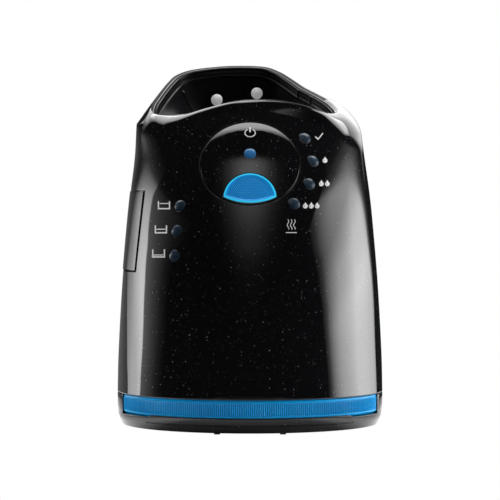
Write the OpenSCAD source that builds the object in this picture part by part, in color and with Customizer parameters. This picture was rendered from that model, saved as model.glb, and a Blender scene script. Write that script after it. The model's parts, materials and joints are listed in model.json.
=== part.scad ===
// Shaver cleaning station: a base with a fluid cartridge, and an upper housing
// that lifts on two guide rods so that the cartridge can be changed.
// Millimetres, +Z up, -Y is the front. The origin is the centre of the bounding
// box's underside, so z = 0 is the surface that the station stands on.

/* [Body] */
// Full width of the housing at its lower edge
body_w = 128.6; // [126:0.1:131]
// How far the front stands forward of the origin at the lower edge
front_y = 60; // [59:0.5:61]
// How far the back stands behind the origin at the lower edge
back_y = 60; // [59:0.5:61]
// Wall thickness of the housing shells
wall = 2.4; // [2:0.1:2.6]
// Height of the seam between the base and the housing
seam_z = 16; // [15.8:0.1:16.4]

/* [Start key] */
// Radius of the round start key in its own leaning plane
key_r = 23.5; // [22.5:0.1:24]
// Height of the key's centre
key_z = 126.9; // [126:0.1:128]
// Gap round the key
key_gap = 0.4; // [0.3:0.05:0.6]
// Lean of the key's plane from the vertical
key_lean = 32; // [30:0.5:34]
// Radius of the half-moon pad
pad_r = 12.4; // [11:0.1:13]

/* [Indicators] */
// Radius of each status lens
lens_r = 2.8; // [2.4:0.1:3]
// Clearance of each lens in its hole
lens_gap = 0.1; // [0.05:0.05:0.2]

/* [Shaver well] */
// Radius of the wash bowl's mouth
bowl_r = 23; // [22:0.5:23.5]
// Height of the bowl's mouth
bowl_z = 140; // [139:0.5:141]
// Drain hole radius
drain_r = 5; // [4:0.5:6]

/* [Cartridge] */
// Height of the ribbed blue band that shows below the housing
band_top = 15.6; // [15:0.1:15.7]
// Height of the cartridge's lid
cart_top = 52; // [48:1:52]

/* [Lift] */
// Radius of the guide rods
rod_r = 4; // [3.5:0.1:4.2]
// Radial running clearance of the guide bushes
rod_fit = 0.05; // [0.02:0.01:0.09]

/* [Pump] */
// Radius of the pump motor
motor_r = 12; // [10:0.5:12.5]
// Radius of the pump shaft
shaft_r = 1.2; // [1:0.1:1.5]

/* [Hidden] */
$fn = 48;

// Tables along the height: [z, value]. Half width, its left-hand variant,
// front face, back face, and the depth at which the body is widest.
hw = body_w / 2;
HW = [[16, hw], [30, hw - 0.1], [50, hw - 0.8], [70, hw - 1.8], [90, hw - 3.3], [110, hw - 5.1],
  [130, hw - 7.7], [146, hw - 9.7], [160, hw - 12.3], [178, hw - 18.3]];
HWL = [[16, hw], [30, hw - 0.1], [50, hw - 0.8], [70, hw - 1.8], [90, hw - 3.3], [110, hw - 5.1],
  [130, hw - 7.3], [146, hw - 8], [160, hw - 9.3], [178, hw - 14.3]];
YF = [[16, -front_y], [35, 0.5 - front_y], [51, 1.6 - front_y], [70, -56.1], [86, -52.3], [106, -44.2],
  [126, -32.9], [141, -22.5], [151, -14], [160, -5]];
YB = [[16, back_y], [60, back_y], [80, 59.9], [100, 59.6], [120, 58.9], [140, 57.6], [160, 55.4], [178, 52]];
YC = [[16, -8], [40, -3], [70, 3], [90, 6], [110, 9], [130, 12.5], [146, 15.5], [178, 20]];
// The rim of the shaver well as a closed loop: [angle, x, y, z]
RIM = [[0, 37.5, 14, 158.4], [20, 32.5, 22, 161.8], [38, 26.5, 29, 165.4], [55, 20.5, 36.5, 170],
  [68, 14.5, 42.5, 174], [80, 7, 46.5, 176.8], [95, -8, 48, 177.4], [110, -21, 47.5, 176.5],
  [122, -31, 44.5, 174.8], [133, -37.4, 39, 172], [145, -40.7, 31, 168.4], [162, -43.6, 22, 164],
  [180, -46.1, 14, 159.6], [190, -48, 7, 155.8], [199, -48.2, 1.5, 152.3], [207, -45, -2.8, 150.3],
  [217, -38, -6.3, 149.8], [228, -29, -8, 150.9], [240, -19, -8.3, 153.6], [255, -8, -8.3, 156.4],
  [270, 2, -8.3, 157.4], [285, 13, -9, 157], [300, 24, -9, 155.1], [313, 32, -8, 152.6],
  [325, 39, -4, 150.8], [338, 42.8, 2, 152.2], [349, 41, 8.3, 155.2]];
// Where the shoulder starts round the loop, and how round it is: [angle, z, roundness]
SH = [[0, 141, 1], [30, 141, 0.7], [55, 150, 0.7], [75, 160, 0.7], [95, 165, 0.7], [115, 160, 0.7],
  [130, 152, 0.4], [150, 147, 0.1], [180, 146.4, 0], [196, 145, 0], [206, 142, 0.5], [220, 141, 1],
  [240, 146, 1], [255, 149, 1], [270, 150, 1], [285, 149, 1], [300, 146, 1], [320, 141, 1],
  [340, 141, 1], [360, 141, 1]];

// Cubic blend between two values with end slopes
function blend(a, b, ma, mb, t) =
  (2 * t^3 - 3 * t^2 + 1) * a + (t^3 - 2 * t^2 + t) * ma + (-2 * t^3 + 3 * t^2) * b + (t^3 - t^2) * mb;
function slope(T, j, k) = let(a = max(j - 1, 0), b = min(j + 1, len(T) - 1))
  (T[b][k] - T[a][k]) / (T[b][0] - T[a][0]);
function find(T, x, i = 0) = (i >= len(T) - 2 || x < T[i + 1][0]) ? i : find(T, x, i + 1);
// Smooth look-up of column k in a table
function at(T, x, k = 1) = let(i = find(T, x), d = T[i + 1][0] - T[i][0], t = (x - T[i][0]) / d)
  t < 0 ? T[i][k] + slope(T, i, k) * (x - T[i][0]) :
  t > 1 ? T[i + 1][k] + slope(T, i + 1, k) * (x - T[i + 1][0]) :
  blend(T[i][k], T[i + 1][k], d * slope(T, i, k), d * slope(T, i + 1, k), t);
// The same on the closed rim loop
function rim_u(j) = RIM[j % len(RIM)][0] + 360 * floor(j / len(RIM));
function rim_v(j, k) = RIM[j % len(RIM)][k];
function rim_m(j, k) = let(J = j + len(RIM)) (rim_v(J + 1, k) - rim_v(J - 1, k)) / (rim_u(J + 1) - rim_u(J - 1));
function rim_find(u, i = 0) = (i >= len(RIM) - 1 || u < RIM[i + 1][0]) ? i : rim_find(u, i + 1);
function rim1(u, k) = let(i = rim_find(u), d = rim_u(i + 1) - rim_u(i), t = (u - rim_u(i)) / d)
  blend(rim_v(i, k), rim_v(i + 1, k), d * rim_m(i, k), d * rim_m(i + 1, k), t);
function wrap(u) = u - 360 * floor(u / 360);
function rim(u) = let(v = wrap(u)) [rim1(v, 1), rim1(v, 2), rim1(v, 3)];
// Unit vector that points into the well, level, at a place on the rim
function rim_in(u) = let(a = rim(u - 1), b = rim(u + 1), t = [b.x - a.x, b.y - a.y], l = norm(t)) [-t.y / l, t.x / l, 0];

// Share of the left-hand width table at an angle
function left_share(u) = let(v = wrap(u))
  (v < 60 || v >= 240) ? 0 : v < 90 ? (v - 60) / 30 : v <= 200 ? 1 : 1 - (v - 200) / 40;
function half_w(u, h) = let(w = left_share(u)) at(HW, h) * (1 - w) + at(HWL, h) * w;
// A point of the body's outline at height h, moved inward by i
function body(u, h, i = 0) = let(a = half_w(u, h) - i, yc = at(YC, h), c = cos(u), s = sin(u), e = 2 / 2.9)
  s <= 0 ? [a * c, yc + (yc - at(YF, h) - i) * s, h]
    : [a * sign(c) * abs(c)^e, yc + (at(YB, h) - yc - i) * abs(s)^e, h];
// A point of the housing's skin: t runs from the lower edge to the rim
TS = 0.7;
function skin(u, t, i = 0) = let(zs = at(SH, wrap(u), 1) - 0.5 * i)
  t <= TS ? body(u, seam_z + (zs - seam_z) * t / TS, i) :
  let(w = (t - TS) / (1 - TS), k = min(1, max(0, at(SH, wrap(u), 2))), S = body(u, zs, i),
    n = rim_in(u), R = rim(u) + n * (i * 0.7) - [0, 0, i * 0.5], d = R - S,
    g = body(u, zs + 0.5, i) - body(u, zs - 0.5, i), L = norm(d), dl = norm([d.x, d.y]),
    m0 = d * (1 - k) + g / norm(g) * L * k,
    m1 = n * ((1 - k) * 3) + [d.x, d.y, 0] * (1.3 * k) + [0, 0, d.z * 0.1 * k])
  [for (j = [0:2]) blend(S[j], R[j], m0[j], m1[j], w)];
// Front face as y over x and z
function front(x, z, i = 0) = let(a = at(HW, z) - i, yc = at(YC, z)) yc - (yc - at(YF, z) - i) * sqrt(1 - (x / a)^2);
// Outward unit normal of the front face
function front_n(x, z) = let(e = 0.5, v = [(front(x + e, z) - front(x - e, z)) / (2 * e), -1,
  (front(x, z + e) - front(x, z - e)) / (2 * e)]) v / norm(v);

// Closed wall between an outer and an inner grid of points
function wall_faces(nr, nc, closed) = let(N = nr * nc, m = closed ? nc : nc - 1, T = (nr - 1) * nc) concat(
  [for (r = [0:nr - 2]) for (c = [0:m - 1]) let(d = (c + 1) % nc, a = r * nc + c, b = (r + 1) * nc + c,
      e = (r + 1) * nc + d, f = r * nc + d)
    for (q = [[a, b, e], [a, e, f], [a + N, f + N, e + N], [a + N, e + N, b + N]]) q],
  [for (c = [0:m - 1]) let(d = (c + 1) % nc)
    for (q = [[c, d, d + N], [c, d + N, c + N], [T + c, T + d + N, T + d], [T + c, T + c + N, T + d + N]]) q],
  closed ? [] : [for (r = [0:nr - 2]) let(a = r * nc, b = a + nc, e = a + nc - 1, f = b + nc - 1)
    for (q = [[a, a + N, b + N], [a, b + N, b], [e, f + N, e + N], [e, f, f + N]]) q]);
module walled(O, I, closed = false) {
  polyhedron(points = concat([for (r = O) for (p = r) p], [for (r = I) for (p = r) p]),
    faces = wall_faces(len(O), len(O[0]), closed), convexity = 12);
}
// Solid lofted through a stack of loops, closed at both ends
module loft(L) {
  n = len(L[0]); m = len(L);
  polyhedron(points = [for (r = L) for (p = r) p], faces = concat(
    [for (r = [0:m - 2]) for (c = [0:n - 1]) let(d = (c + 1) % n)
      for (q = [[r * n + c, (r + 1) * n + c, (r + 1) * n + d], [r * n + c, (r + 1) * n + d, r * n + d]]) q],
    [[for (c = [0:n - 1]) c]], [[for (c = [n - 1:-1:0]) (m - 1) * n + c]]), convexity = 8);
}
// Body outline at height h as a flat polygon, moved inward by i
module plan(h, i = 0, n = 72) { polygon([for (k = [0:n - 1]) let(p = body(k * 360 / n, h, i)) [p.x, p.y]]); }
module slab(z0, z1, i = 0, h = 16) { translate([0, 0, z0]) linear_extrude(z1 - z0) plan(h, i); }
module box(a, b) { translate(a) cube(b - a); }
module rod(x, y, z0, z1, r) { translate([x, y, z0]) cylinder(r = r, h = z1 - z0); }
module tube(x, y, z0, z1, r, ri) { difference() { rod(x, y, z0, z1, r); rod(x, y, z0 - 1, z1 + 1, ri); } }
// Turns a child's +Z to the direction v at the point p
module aim(p, v) { translate(p) rotate([0, acos(v.z / norm(v)), atan2(v.y, v.x)]) children(); }
// Round tube swept along points with n sides
function unit(v) = v / norm(v);
function tangent(P, i) = unit(P[min(i + 1, len(P) - 1)] - P[max(i - 1, 0)]);
function side_of(t) = unit(cross(t, abs(t.z) < 0.9 ? [0, 0, 1] : [1, 0, 0]));
function carry(P, i, s) = let(t = tangent(P, i)) unit(s - t * (s * t));
function frames(P, i = 0, acc = []) = i >= len(P) ? acc :
  frames(P, i + 1, concat(acc, [i == 0 ? side_of(tangent(P, 0)) : carry(P, i, acc[i - 1])]));
module sweep(P, r, n = 8) {
  F = frames(P);
  loft([for (i = [0:len(P) - 1]) let(t = tangent(P, i), s = F[i], q = cross(t, s))
    [for (k = [0:n - 1]) P[i] + r * (cos(-k * 360 / n) * s - sin(-k * 360 / n) * q)]]);
}

// Frame of the start key: its centre, and its up and outward directions
KC = [0, front(0, key_z), key_z];
KV = [0, sin(key_lean), cos(key_lean)];
KN = [0, -cos(key_lean), sin(key_lean)];
function key_w(p, q, n = 6, w = 0) = n == 0 ? w :
  key_w(p, q, n - 1, (KC.y + q * KV.y - front(p, KC.z + q * KV.z + w * KN.z)) / -KN.y);
function key_pt(p, q, w) = KC + [p, 0, 0] + q * KV + w * KN;
module key_frame() { translate(KC) rotate([90 - key_lean, 0, 0]) children(); }
PQ = 19; PW = -6.8;
// Rows of the key's skin: a shallow dome that stands a little proud
function key_grid(r0, lift) = [for (k = [0:5]) let(r = r0 * k / 5) [for (c = [0:35])
  let(p = r * cos(c * 10), q = r * sin(c * 10)) [p, q, key_w(p, q) + lift + 0.5 * (1 - (k / 5)^2)]]];
pad_q = -19.3;
lens_q = 4.2;

// Front edge of the release button: [z, distance in front of the widest line]
BUTTON_EDGE = [[74, 28.4], [84, 28.4], [94, 27.9], [104, 26.9], [113.8, 25.4]];

// Status lens places on the front: [x, z]
LENSES = [[26.4, 138.4], [30.2, 127.3], [28.2, 116.4], [20.9, 107], [-33.2, 106], [-34.6, 94.2], [-35.6, 82.6]];

// Shaver bowl and funnel
BC = [-1, 15];
PUMP = [34, -12];
RODS = [[-30, 40], [30, 40]];

SCREWS = [[-44, -20], [44, -20], [-44, 18], [44, 18]];
DECK_SCREWS = [[-41, -24], [-41, 24], [44, 24], [22, -40]];

// ---------------------------------------------------------------- base
module base_tray() {
  color([0.05, 0.05, 0.06]) difference() {
    loft([for (l = [[0.6, 2], [1.4, 1.35], [4, 0.45], [7, 0], [15.7, 0]]) [for (k = [0:71]) let(p = body(k * 5, 16, l[1])) [p.x, p.y, l[0]]]]);
    // hollow underside
    slab(0, 5, 5.5);
    // hollow above the floor
    slab(6.8, 17, 2.3);
    // window for the cartridge, with a low lip across the middle
    box([-61, -80, 6.8], [61, -8, 17]);
    // aperture for the power inlet
    box([-10, 46.5, 3], [10, 70, 13.2]);
    // pilot holes
    for (p = SCREWS) rod(p.x, p.y, 4, 8, 1.3);
  }
  color([0.05, 0.05, 0.06]) difference() {
    intersection() { slab(6.8, 7.7, 0.1); box([-47, -70, 6], [47, -30, 8]); }
    slab(6, 9, 1.3);
  }
}
module bottom_cover() {
  color([0.1, 0.1, 0.11]) difference() {
    slab(1, 3, 5.8);
    for (p = SCREWS) { rod(p.x, p.y, 0, 2, 3); rod(p.x, p.y, 0, 4, 1.6); }
  }
  color([0.1, 0.1, 0.11]) for (p = SCREWS) tube(p.x, p.y, 3, 5, 3.5, 1.6);
}
module front_feet() { color([0.15, 0.15, 0.15]) for (s = [-1, 1]) box([s * 15.3 - 1.4, -56, 0], [s * 15.3 + 1.4, -50, 0.6]); }
module rear_feet() { color([0.15, 0.15, 0.15]) for (s = [-1, 1]) rod(s * 38, 36, 0, 1, 5.5); }
module base_screws() {
  color([0.7, 0.7, 0.72]) for (p = SCREWS) { rod(p.x, p.y, 1.1, 2, 2.7); rod(p.x, p.y, 1.9, 6.4, 1.3); }
}
module rear_column() {
  color([0.12, 0.12, 0.13]) difference() {
    union() {
      box([-36, 31.5, 6.8], [36, 45.8, 9.8]);
      box([-20, 31.5, 9.8], [20, 46.5, 84.9]);
      for (p = RODS) rod(p.x, p.y, 9.8, 14, 5.8);
    }
    box([-18, 33.5, 11], [18, 50, 82.9]);
    for (p = RODS) rod(p.x, p.y, 9.8, 15, rod_r);
  }
}
module column_cover() { color([0.1, 0.1, 0.11]) box([-20, 46.5, 14], [20, 48, 84.9]); }
module power_board() { color([0.1, 0.35, 0.2]) box([-16, 34.5, 13], [16, 36.1, 62]); }
module transformer() {
  color([0.35, 0.33, 0.3]) { box([-14, 36.1, 22], [14, 45, 28]); box([-14, 36.1, 44], [14, 45, 50]); }
  color([0.8, 0.65, 0.2]) box([-10, 36.1, 28], [10, 45, 44]);
}
module power_inlet() {
  color([0.08, 0.08, 0.08]) difference() {
    box([-9.8, 48.2, 3.1], [9.8, 59.4, 13.1]);
    box([-3.9, 50.4, 4.6], [3.9, 70, 11.6]);
    for (s = [-1, 1]) translate([s * 3.9, 50.4, 8.1]) rotate([-90, 0, 0]) cylinder(r = 3.5, h = 20);
  }
}
module inlet_pins() { color([0.8, 0.75, 0.5]) for (s = [-1, 1]) translate([s * 4.3, 50.4, 8.1]) rotate([-90, 0, 0]) cylinder(r = 1.15, h = 8); }
module guide_rods() { color([0.75, 0.76, 0.78]) for (p = RODS) rod(p.x, p.y, 9.8, 130, rod_r); }
module lift_springs() {
  turns = 7; n = 10;
  color([0.7, 0.7, 0.72]) for (p = RODS)
    sweep([for (i = [0:turns * n]) let(a = i * 360 / n) [p.x + 5.2 * cos(a), p.y + 5.2 * sin(a), 15 + 30 * i / (turns * n)]], 0.55, 6);
}
module latch_catch() {
  color([0.7, 0.7, 0.72]) union() { box([-31, 26, 82], [-20, 31.5, 84.9]); box([-22, 26, 82], [-6, 31.5, 84.9]); box([-18, 30, 70], [-6, 31.5, 82]); }
}
// Part of the cartridge's outline: the housing's outline moved in, ahead of its straight back
module cart_plan(i, yb = 29) {
  e = max(0, i - 0.6);
  intersection() {
    plan(16, i);
    polygon([[e - 60.6, -70], [60.6 - e, -70], [60.6 - e, -12], [58.4 - e, 0], [58.4 - e, yb - 4], [54 - e, yb], [e - 54, yb], [e - 58.4, yb - 4], [e - 58.4, 0], [e - 60.6, -12]]);
  }
}
// The same above the seam, where it also clears the housing's sloping walls
module cart_upper(i, yb = 29) { intersection() { cart_plan(5.2 + i, yb); plan(56, 3.6 + i); } }
module cartridge_tub() {
  color([0.15, 0.5, 0.75]) difference() {
    union() {
      translate([0, 0, 7.9]) linear_extrude(band_top - 7.9) cart_plan(0.6);
      translate([0, 0, 7.1]) linear_extrude(0.8) cart_plan(1.7);
      translate([0, 0, band_top]) linear_extrude(cart_top - 2 - band_top) cart_upper(0);
    }
    translate([0, 0, 9]) linear_extrude(cart_top) cart_upper(1.8, 27.2);
  }
}
module cartridge_top() {
  color([0.12, 0.4, 0.62]) difference() {
    union() {
      translate([0, 0, cart_top - 2]) linear_extrude(2) cart_upper(0);
      translate([0, 0, cart_top - 5]) linear_extrude(3) difference() { cart_upper(2, 27); cart_upper(3.4, 25.6); }
    }
    rod(PUMP.x, PUMP.y, 0, 60, 6);
    rod(BC.x, BC.y, 0, 60, 8);
  }
}
module cartridge_filter() {
  color([0.85, 0.87, 0.88]) {
    tube(BC.x, BC.y, 38, cart_top - 2, 9.4, 8);
    difference() { rod(BC.x, BC.y, 38, 39.4, 8); for (x = [-4.5:3:4.5]) for (y = [-4.5:3:4.5]) rod(BC.x + x, BC.y + y, 37, 40, 0.9); }
  }
}

// ---------------------------------------------------------------- shells
ROWS = concat([for (k = [0:12]) TS * k / 12], [for (k = [1:6]) TS + (1 - TS) * k / 6]);
// The seam between the two shells on the left bends forward near the top
function seam_u(t) = t < 0.62 ? 180 : min(199, 180 + (t - 0.62) / 0.14 * 19);
module front_shell() {
  n = 32;
  color([0.03, 0.03, 0.035]) resize([0, 0, 0]) difference() {
    walled([for (t = ROWS) [for (k = [0:n]) let(a = seam_u(t) + 0.12) skin(a + (359.88 - a) * k / n, t)]],
      [for (t = ROWS) [for (k = [0:n]) let(a = seam_u(t) + 0.12) skin(a + (359.88 - a) * k / n, t, wall)]]);
    key_frame() translate([0, 0, -25]) cylinder(r = key_r + key_gap, h = 50, $fn = 72);
    for (l = LENSES) let(n = front_n(l.x, l.y), p = [l.x, front(l.x, l.y), l.y])
      aim(p - 12 * n, n) cylinder(r = lens_r + lens_gap, h = 20, $fn = 24);
    // notch for the release button
    loft([for (h = [74, 84, 94, 104, 113.8]) let(y = at(YC, h), e = at(BUTTON_EDGE, h) + 0.4) [[-75, y + 4, h], [-75, y - e, h], [-38, y - e, h], [-38, y + 4, h]]]);
  }
}
module rear_shell() {
  n = 36;
  color([0.04, 0.04, 0.045]) walled(
    [for (t = ROWS) [for (k = [0:n]) skin(0.12 + (seam_u(t) - 0.24) * k / n, t)]],
    [for (t = ROWS) [for (k = [0:n]) skin(0.12 + (seam_u(t) - 0.24) * k / n, t, wall)]]);
}
// Mouth of the funnel, on the same angle as the rim point above it
function mouth(u, r, z) = let(p = rim(u), a = atan2(p.y - BC.y, p.x - BC.x)) [BC.x + r * cos(a), BC.y + r * sin(a), z];
function funnel(u, w, r) = let(p = rim(u) + rim_in(u) * (3.6 + (bowl_r + 1.5 - r)) - [0, 0, 6], m = mouth(u, r, bowl_z + 1.8),
    b = w * w * 0.35 + w * 0.65) [p.x + (m.x - p.x) * b, p.y + (m.y - p.y) * b, p.z + (m.z - p.z) * w];
module well_collar() {
  n = 54;
  U = [for (k = [0:n - 1]) k * 360 / n];
  color([0.05, 0.05, 0.055]) resize([0, 0, 0]) difference() {
    // outer grid is the hidden side, inner grid is the side that faces the shaver
    walled(concat(
      [for (w = [1, 0.75, 0.5, 0.25, 0.05]) [for (u = U) funnel(u, w, bowl_r + 3.2)]],
      [for (l = [[2.0, 4.6], [2.0, 1.4]]) [for (u = U) rim(u) + rim_in(u) * l[0] - [0, 0, l[1]]]]),
      concat(
      [for (w = [1, 0.75, 0.5, 0.25, 0.05]) [for (u = U) funnel(u, w, bowl_r + 1.5)]],
      [for (l = [[3.2, 5], [2.9, 1.4]]) [for (u = U) rim(u) + rim_in(u) * l[0] - [0, 0, l[1]]]]), true);
    for (c = CONTACTS) aim(c, CN) translate([0, 0, -8]) cylinder(r = 6, h = 14, $fn = 36);
  }
}

// Charging contacts on the well's back wall
CN = [0, -cos(12), sin(12)];
CONTACTS = [[-16.9, 41.2, 159.6], [3.5, 41.9, 163]];

// ---------------------------------------------------------------- housing inside
module bowl_at() { translate([BC.x, BC.y, 0]) children(); }
module wash_bowl() {
  r = bowl_r; z = bowl_z;
  color([0.75, 0.77, 0.78]) difference() {
    bowl_at() rotate_extrude() polygon([[drain_r, 94], [r - 7, 96], [r - 2.2, 99], [r + 0.4, 106], [r + 1.8, 118],
      [r + 1.8, z - 2], [r + 3, z - 2], [r + 3, z], [r, z], [r, 118], [r - 1.4, 107], [r - 3.6, 101], [r - 7.5, 98], [drain_r, 96]]);
    aim([BC.x, BC.y, 122], [0.64, -0.77, 0]) cylinder(r = 2, h = 40);
  }
}
module bowl_seal() { color([0.2, 0.2, 0.2]) bowl_at() rotate_extrude() translate([bowl_r + 2.2, bowl_z + 0.8]) circle(r = 0.8, $fn = 24); }
module drying_coil() {
  color([0.75, 0.45, 0.2]) bowl_at() for (r = [9:1.6:17]) rotate_extrude() translate([r, 91]) circle(r = 0.7, $fn = 16);
  color([0.2, 0.2, 0.2]) bowl_at() rotate_extrude() polygon([[7.6, 88.6], [18.5, 88.6], [18.5, 90.3], [7.6, 90.3]]);
}
module drain_spout() {
  color([0.3, 0.3, 0.32]) union() {
    bowl_at() difference() { union() { translate([0, 0, 47]) cylinder(r = 6, h = 41.6); translate([0, 0, 88]) cylinder(r = 7.6, h = 6); }
      translate([0, 0, 40]) cylinder(r = 4.6, h = 60); }
  }
}
module main_deck() {
  color([0.2, 0.2, 0.22]) difference() {
    union() {
      difference() { slab(56, 59, 3.4, 60); box([-34, 24.6, 50], [34, 80, 62]); }
      for (p = RODS) rod(p.x, p.y, 56, 59, 8);
      rod(-40, 14, 59, 79.4, 4.5);
      for (p = DECK_SCREWS) rod(p.x, p.y, 53, 59, 3.4);
    }
    for (p = RODS) rod(p.x, p.y, 50, 60, 6);
    rod(BC.x, BC.y, 50, 60, 6);
    rod(PUMP.x, PUMP.y, 50, 60, 3.5);
    rod(-40, 14, 60, 90, 2);
    for (p = DECK_SCREWS) rod(p.x, p.y, 50, 60, 1.4);
  }
}
module guide_bushes() { color([0.9, 0.9, 0.88]) for (p = RODS) { tube(p.x, p.y, 46, 72, 6, rod_r + rod_fit); } }
module pump_housing() {
  color([0.25, 0.25, 0.27]) difference() {
    union() { rod(PUMP.x, PUMP.y, 59, 67, 14); translate([PUMP.x, PUMP.y - 7, 63]) rotate([0, -90, 0]) cylinder(r = 2.8, h = 20); }
    rod(PUMP.x, PUMP.y, 60.6, 65.4, 10);
    rod(PUMP.x, PUMP.y, 50, 62, 2.4);
    rod(PUMP.x, PUMP.y, 60, 70, shaft_r + 0.05);
    translate([PUMP.x, PUMP.y - 7, 63]) rotate([0, -90, 0]) cylinder(r = 1.6, h = 30);
  }
}
module pump_motor() { color([0.7, 0.7, 0.72]) tube(PUMP.x, PUMP.y, 67, 91, motor_r, shaft_r + 0.05); }
module motor_cap() { color([0.9, 0.9, 0.88]) difference() { union() { rod(PUMP.x, PUMP.y, 91, 93, motor_r - 0.5); rod(PUMP.x, PUMP.y, 93, 95, 4); } rod(PUMP.x, PUMP.y, 80, 100, shaft_r + 0.05); } }
module pump_shaft() { color([0.8, 0.8, 0.82]) rod(PUMP.x, PUMP.y, 61.4, 96.5, shaft_r); }
module pump_impeller() {
  color([0.9, 0.9, 0.88]) difference() {
    union() {
      rod(PUMP.x, PUMP.y, 61.4, 62.6, 9);
      rod(PUMP.x, PUMP.y, 62.6, 64.8, 2.8);
      for (a = [0:60:300]) translate([PUMP.x, PUMP.y, 62.6]) rotate(a) translate([2.4, -0.5, 0]) cube([6.2, 1, 2.2]);
    }
    rod(PUMP.x, PUMP.y, 60, 66, shaft_r);
  }
}
module suction_tube() { color([0.8, 0.82, 0.84]) tube(PUMP.x, PUMP.y, 13, 59, 3.5, 2.4); }
module delivery_hose() {
  // from the pump outlet up to the bowl's nozzle
  P = [[13.8, -19, 63], [11, -19, 63.4], [9, -19, 65.5], [8.6, -18.8, 70], [9.5, -17.8, 82], [12, -15.6, 94], [15.6, -12.4, 106],
    [18.5, -9, 115], [19.2, -8, 119], [18.6, -8.4, 121.4], [17, -6.6, 122], [15.1, -4.5, 122]];
  color([0.75, 0.78, 0.8]) sweep(P, 1.9, 8);
}
module control_board() {
  color([0.08, 0.3, 0.18]) translate([0, -34.5, 80]) rotate([-26.57, 0, 0]) difference() {
    union() { box([-38, 0, -2], [38, 1.6, 41]); box([19.5, 0, 40], [34, 1.6, 64]); }
    for (x = [-34, 34]) translate([x, -1, 2]) rotate([-90, 0, 0]) cylinder(r = 1.5, h = 4);
  }
}
function board_y(z) = -34.5 + (z - 80) * 0.5;
module led_set() {
  color([0.85, 0.87, 0.9]) for (l = LENSES) aim([l.x, board_y(l.y), l.y], [0, -0.8944, 0.4472]) { cylinder(r = 1.5, h = 2.2); }
  color([0.85, 0.87, 0.9]) aim([0, board_y(114), 114], [0, -0.8944, 0.4472]) cylinder(r = 1.5, h = 2.2);
}
module status_lenses() {
  color([0.25, 0.33, 0.42]) for (l = LENSES) let(n = front_n(l.x, l.y), p = [l.x, front(l.x, l.y), l.y])
    aim(p - 5 * n, n) intersection() { cylinder(r = lens_r, h = 6); translate([0, 0, -3.2]) sphere(r = 8.7); }
}
module tact_switch() {
  color([0.15, 0.15, 0.16]) aim([0, board_y(104), 104], [0, -0.8944, 0.4472]) { box([-3, -3, 0], [3, 3, 3.4]); translate([0, 0, 3.3]) cylinder(r = 1.7, h = 1.2); }
}
module key_carrier() {
  color([0.2, 0.2, 0.22]) key_frame() difference() {
    union() {
      difference() { box([-24, -25, -13], [24, 15.5, -10.5]); box([-19, -20, -14], [19, 12, -9]); }
      for (s = [-1, 1]) { box([s * 15.3 - 1.2, 13, -10.6], [s * 15.3 + 1.2, PQ + 0.1, -5.2]);
        translate([s * 15.3 - 1.2, PQ, PW]) rotate([0, 90, 0]) cylinder(r = 2, h = 2.4); }
    }
    translate([-20, PQ, PW]) rotate([0, 90, 0]) cylinder(r = 1.2, h = 40);
  }
}
module key_hinge_pin() { color([0.8, 0.8, 0.82]) key_frame() translate([-16.8, PQ, PW]) rotate([0, 90, 0]) cylinder(r = 1.2, h = 33.6); }
module release_guide() {
  color([0.2, 0.2, 0.22]) difference() {
    union() { box([-50, -14, 59], [-47, -2, 88]); translate([-52, -8, 82.4]) rotate([0, 90, 0]) cylinder(r = 5.2, h = 5); }
    translate([-56, -8, 82.4]) rotate([0, 90, 0]) cylinder(r = 3.05, h = 12);
  }
}
module latch_pivot_pin() { color([0.8, 0.8, 0.82]) rod(-40, 14, 60, 90, 2); }
module latch_spring() { color([0.7, 0.7, 0.72]) for (k = [0:2]) translate([-40, 14, 86 + k * 1.3]) rotate_extrude() translate([3.2, 0]) circle(r = 0.55, $fn = 16); }
module contact_cups() {
  color([0.06, 0.06, 0.065]) for (c = CONTACTS) aim(c, CN) difference() {
    translate([0, 0, -4.9]) cylinder(r = 5.8, h = 4.4);
    translate([0, 0, -3.6]) cylinder(r = 4.9, h = 8);
    translate([0, 0, -10]) cylinder(r = 2.35, h = 12);
  }
}
module contact_leaves() { color([0.85, 0.7, 0.35]) for (c = CONTACTS) aim(c, CN) translate([-2.4, -4.5, -7]) cube([4.8, 9, 0.4]); }
module contact_pin(c) { color([0.93, 0.93, 0.94]) aim(c, CN) { translate([0, 0, -5.2]) cylinder(r = 2.3, h = 4.8); translate([0, 0, -0.6]) intersection() { cylinder(r = 2.9, h = 3); translate([0, 0, -2.2]) sphere(r = 4.2); } } }
module contact_pin_left() { contact_pin(CONTACTS[0]); }
module contact_pin_right() { contact_pin(CONTACTS[1]); }
module deck_screws() {
  color([0.7, 0.7, 0.72]) for (p = DECK_SCREWS) { rod(p.x, p.y, 59, 60.4, 2.6); rod(p.x, p.y, 54, 59.2, 1.4); }
}

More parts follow.
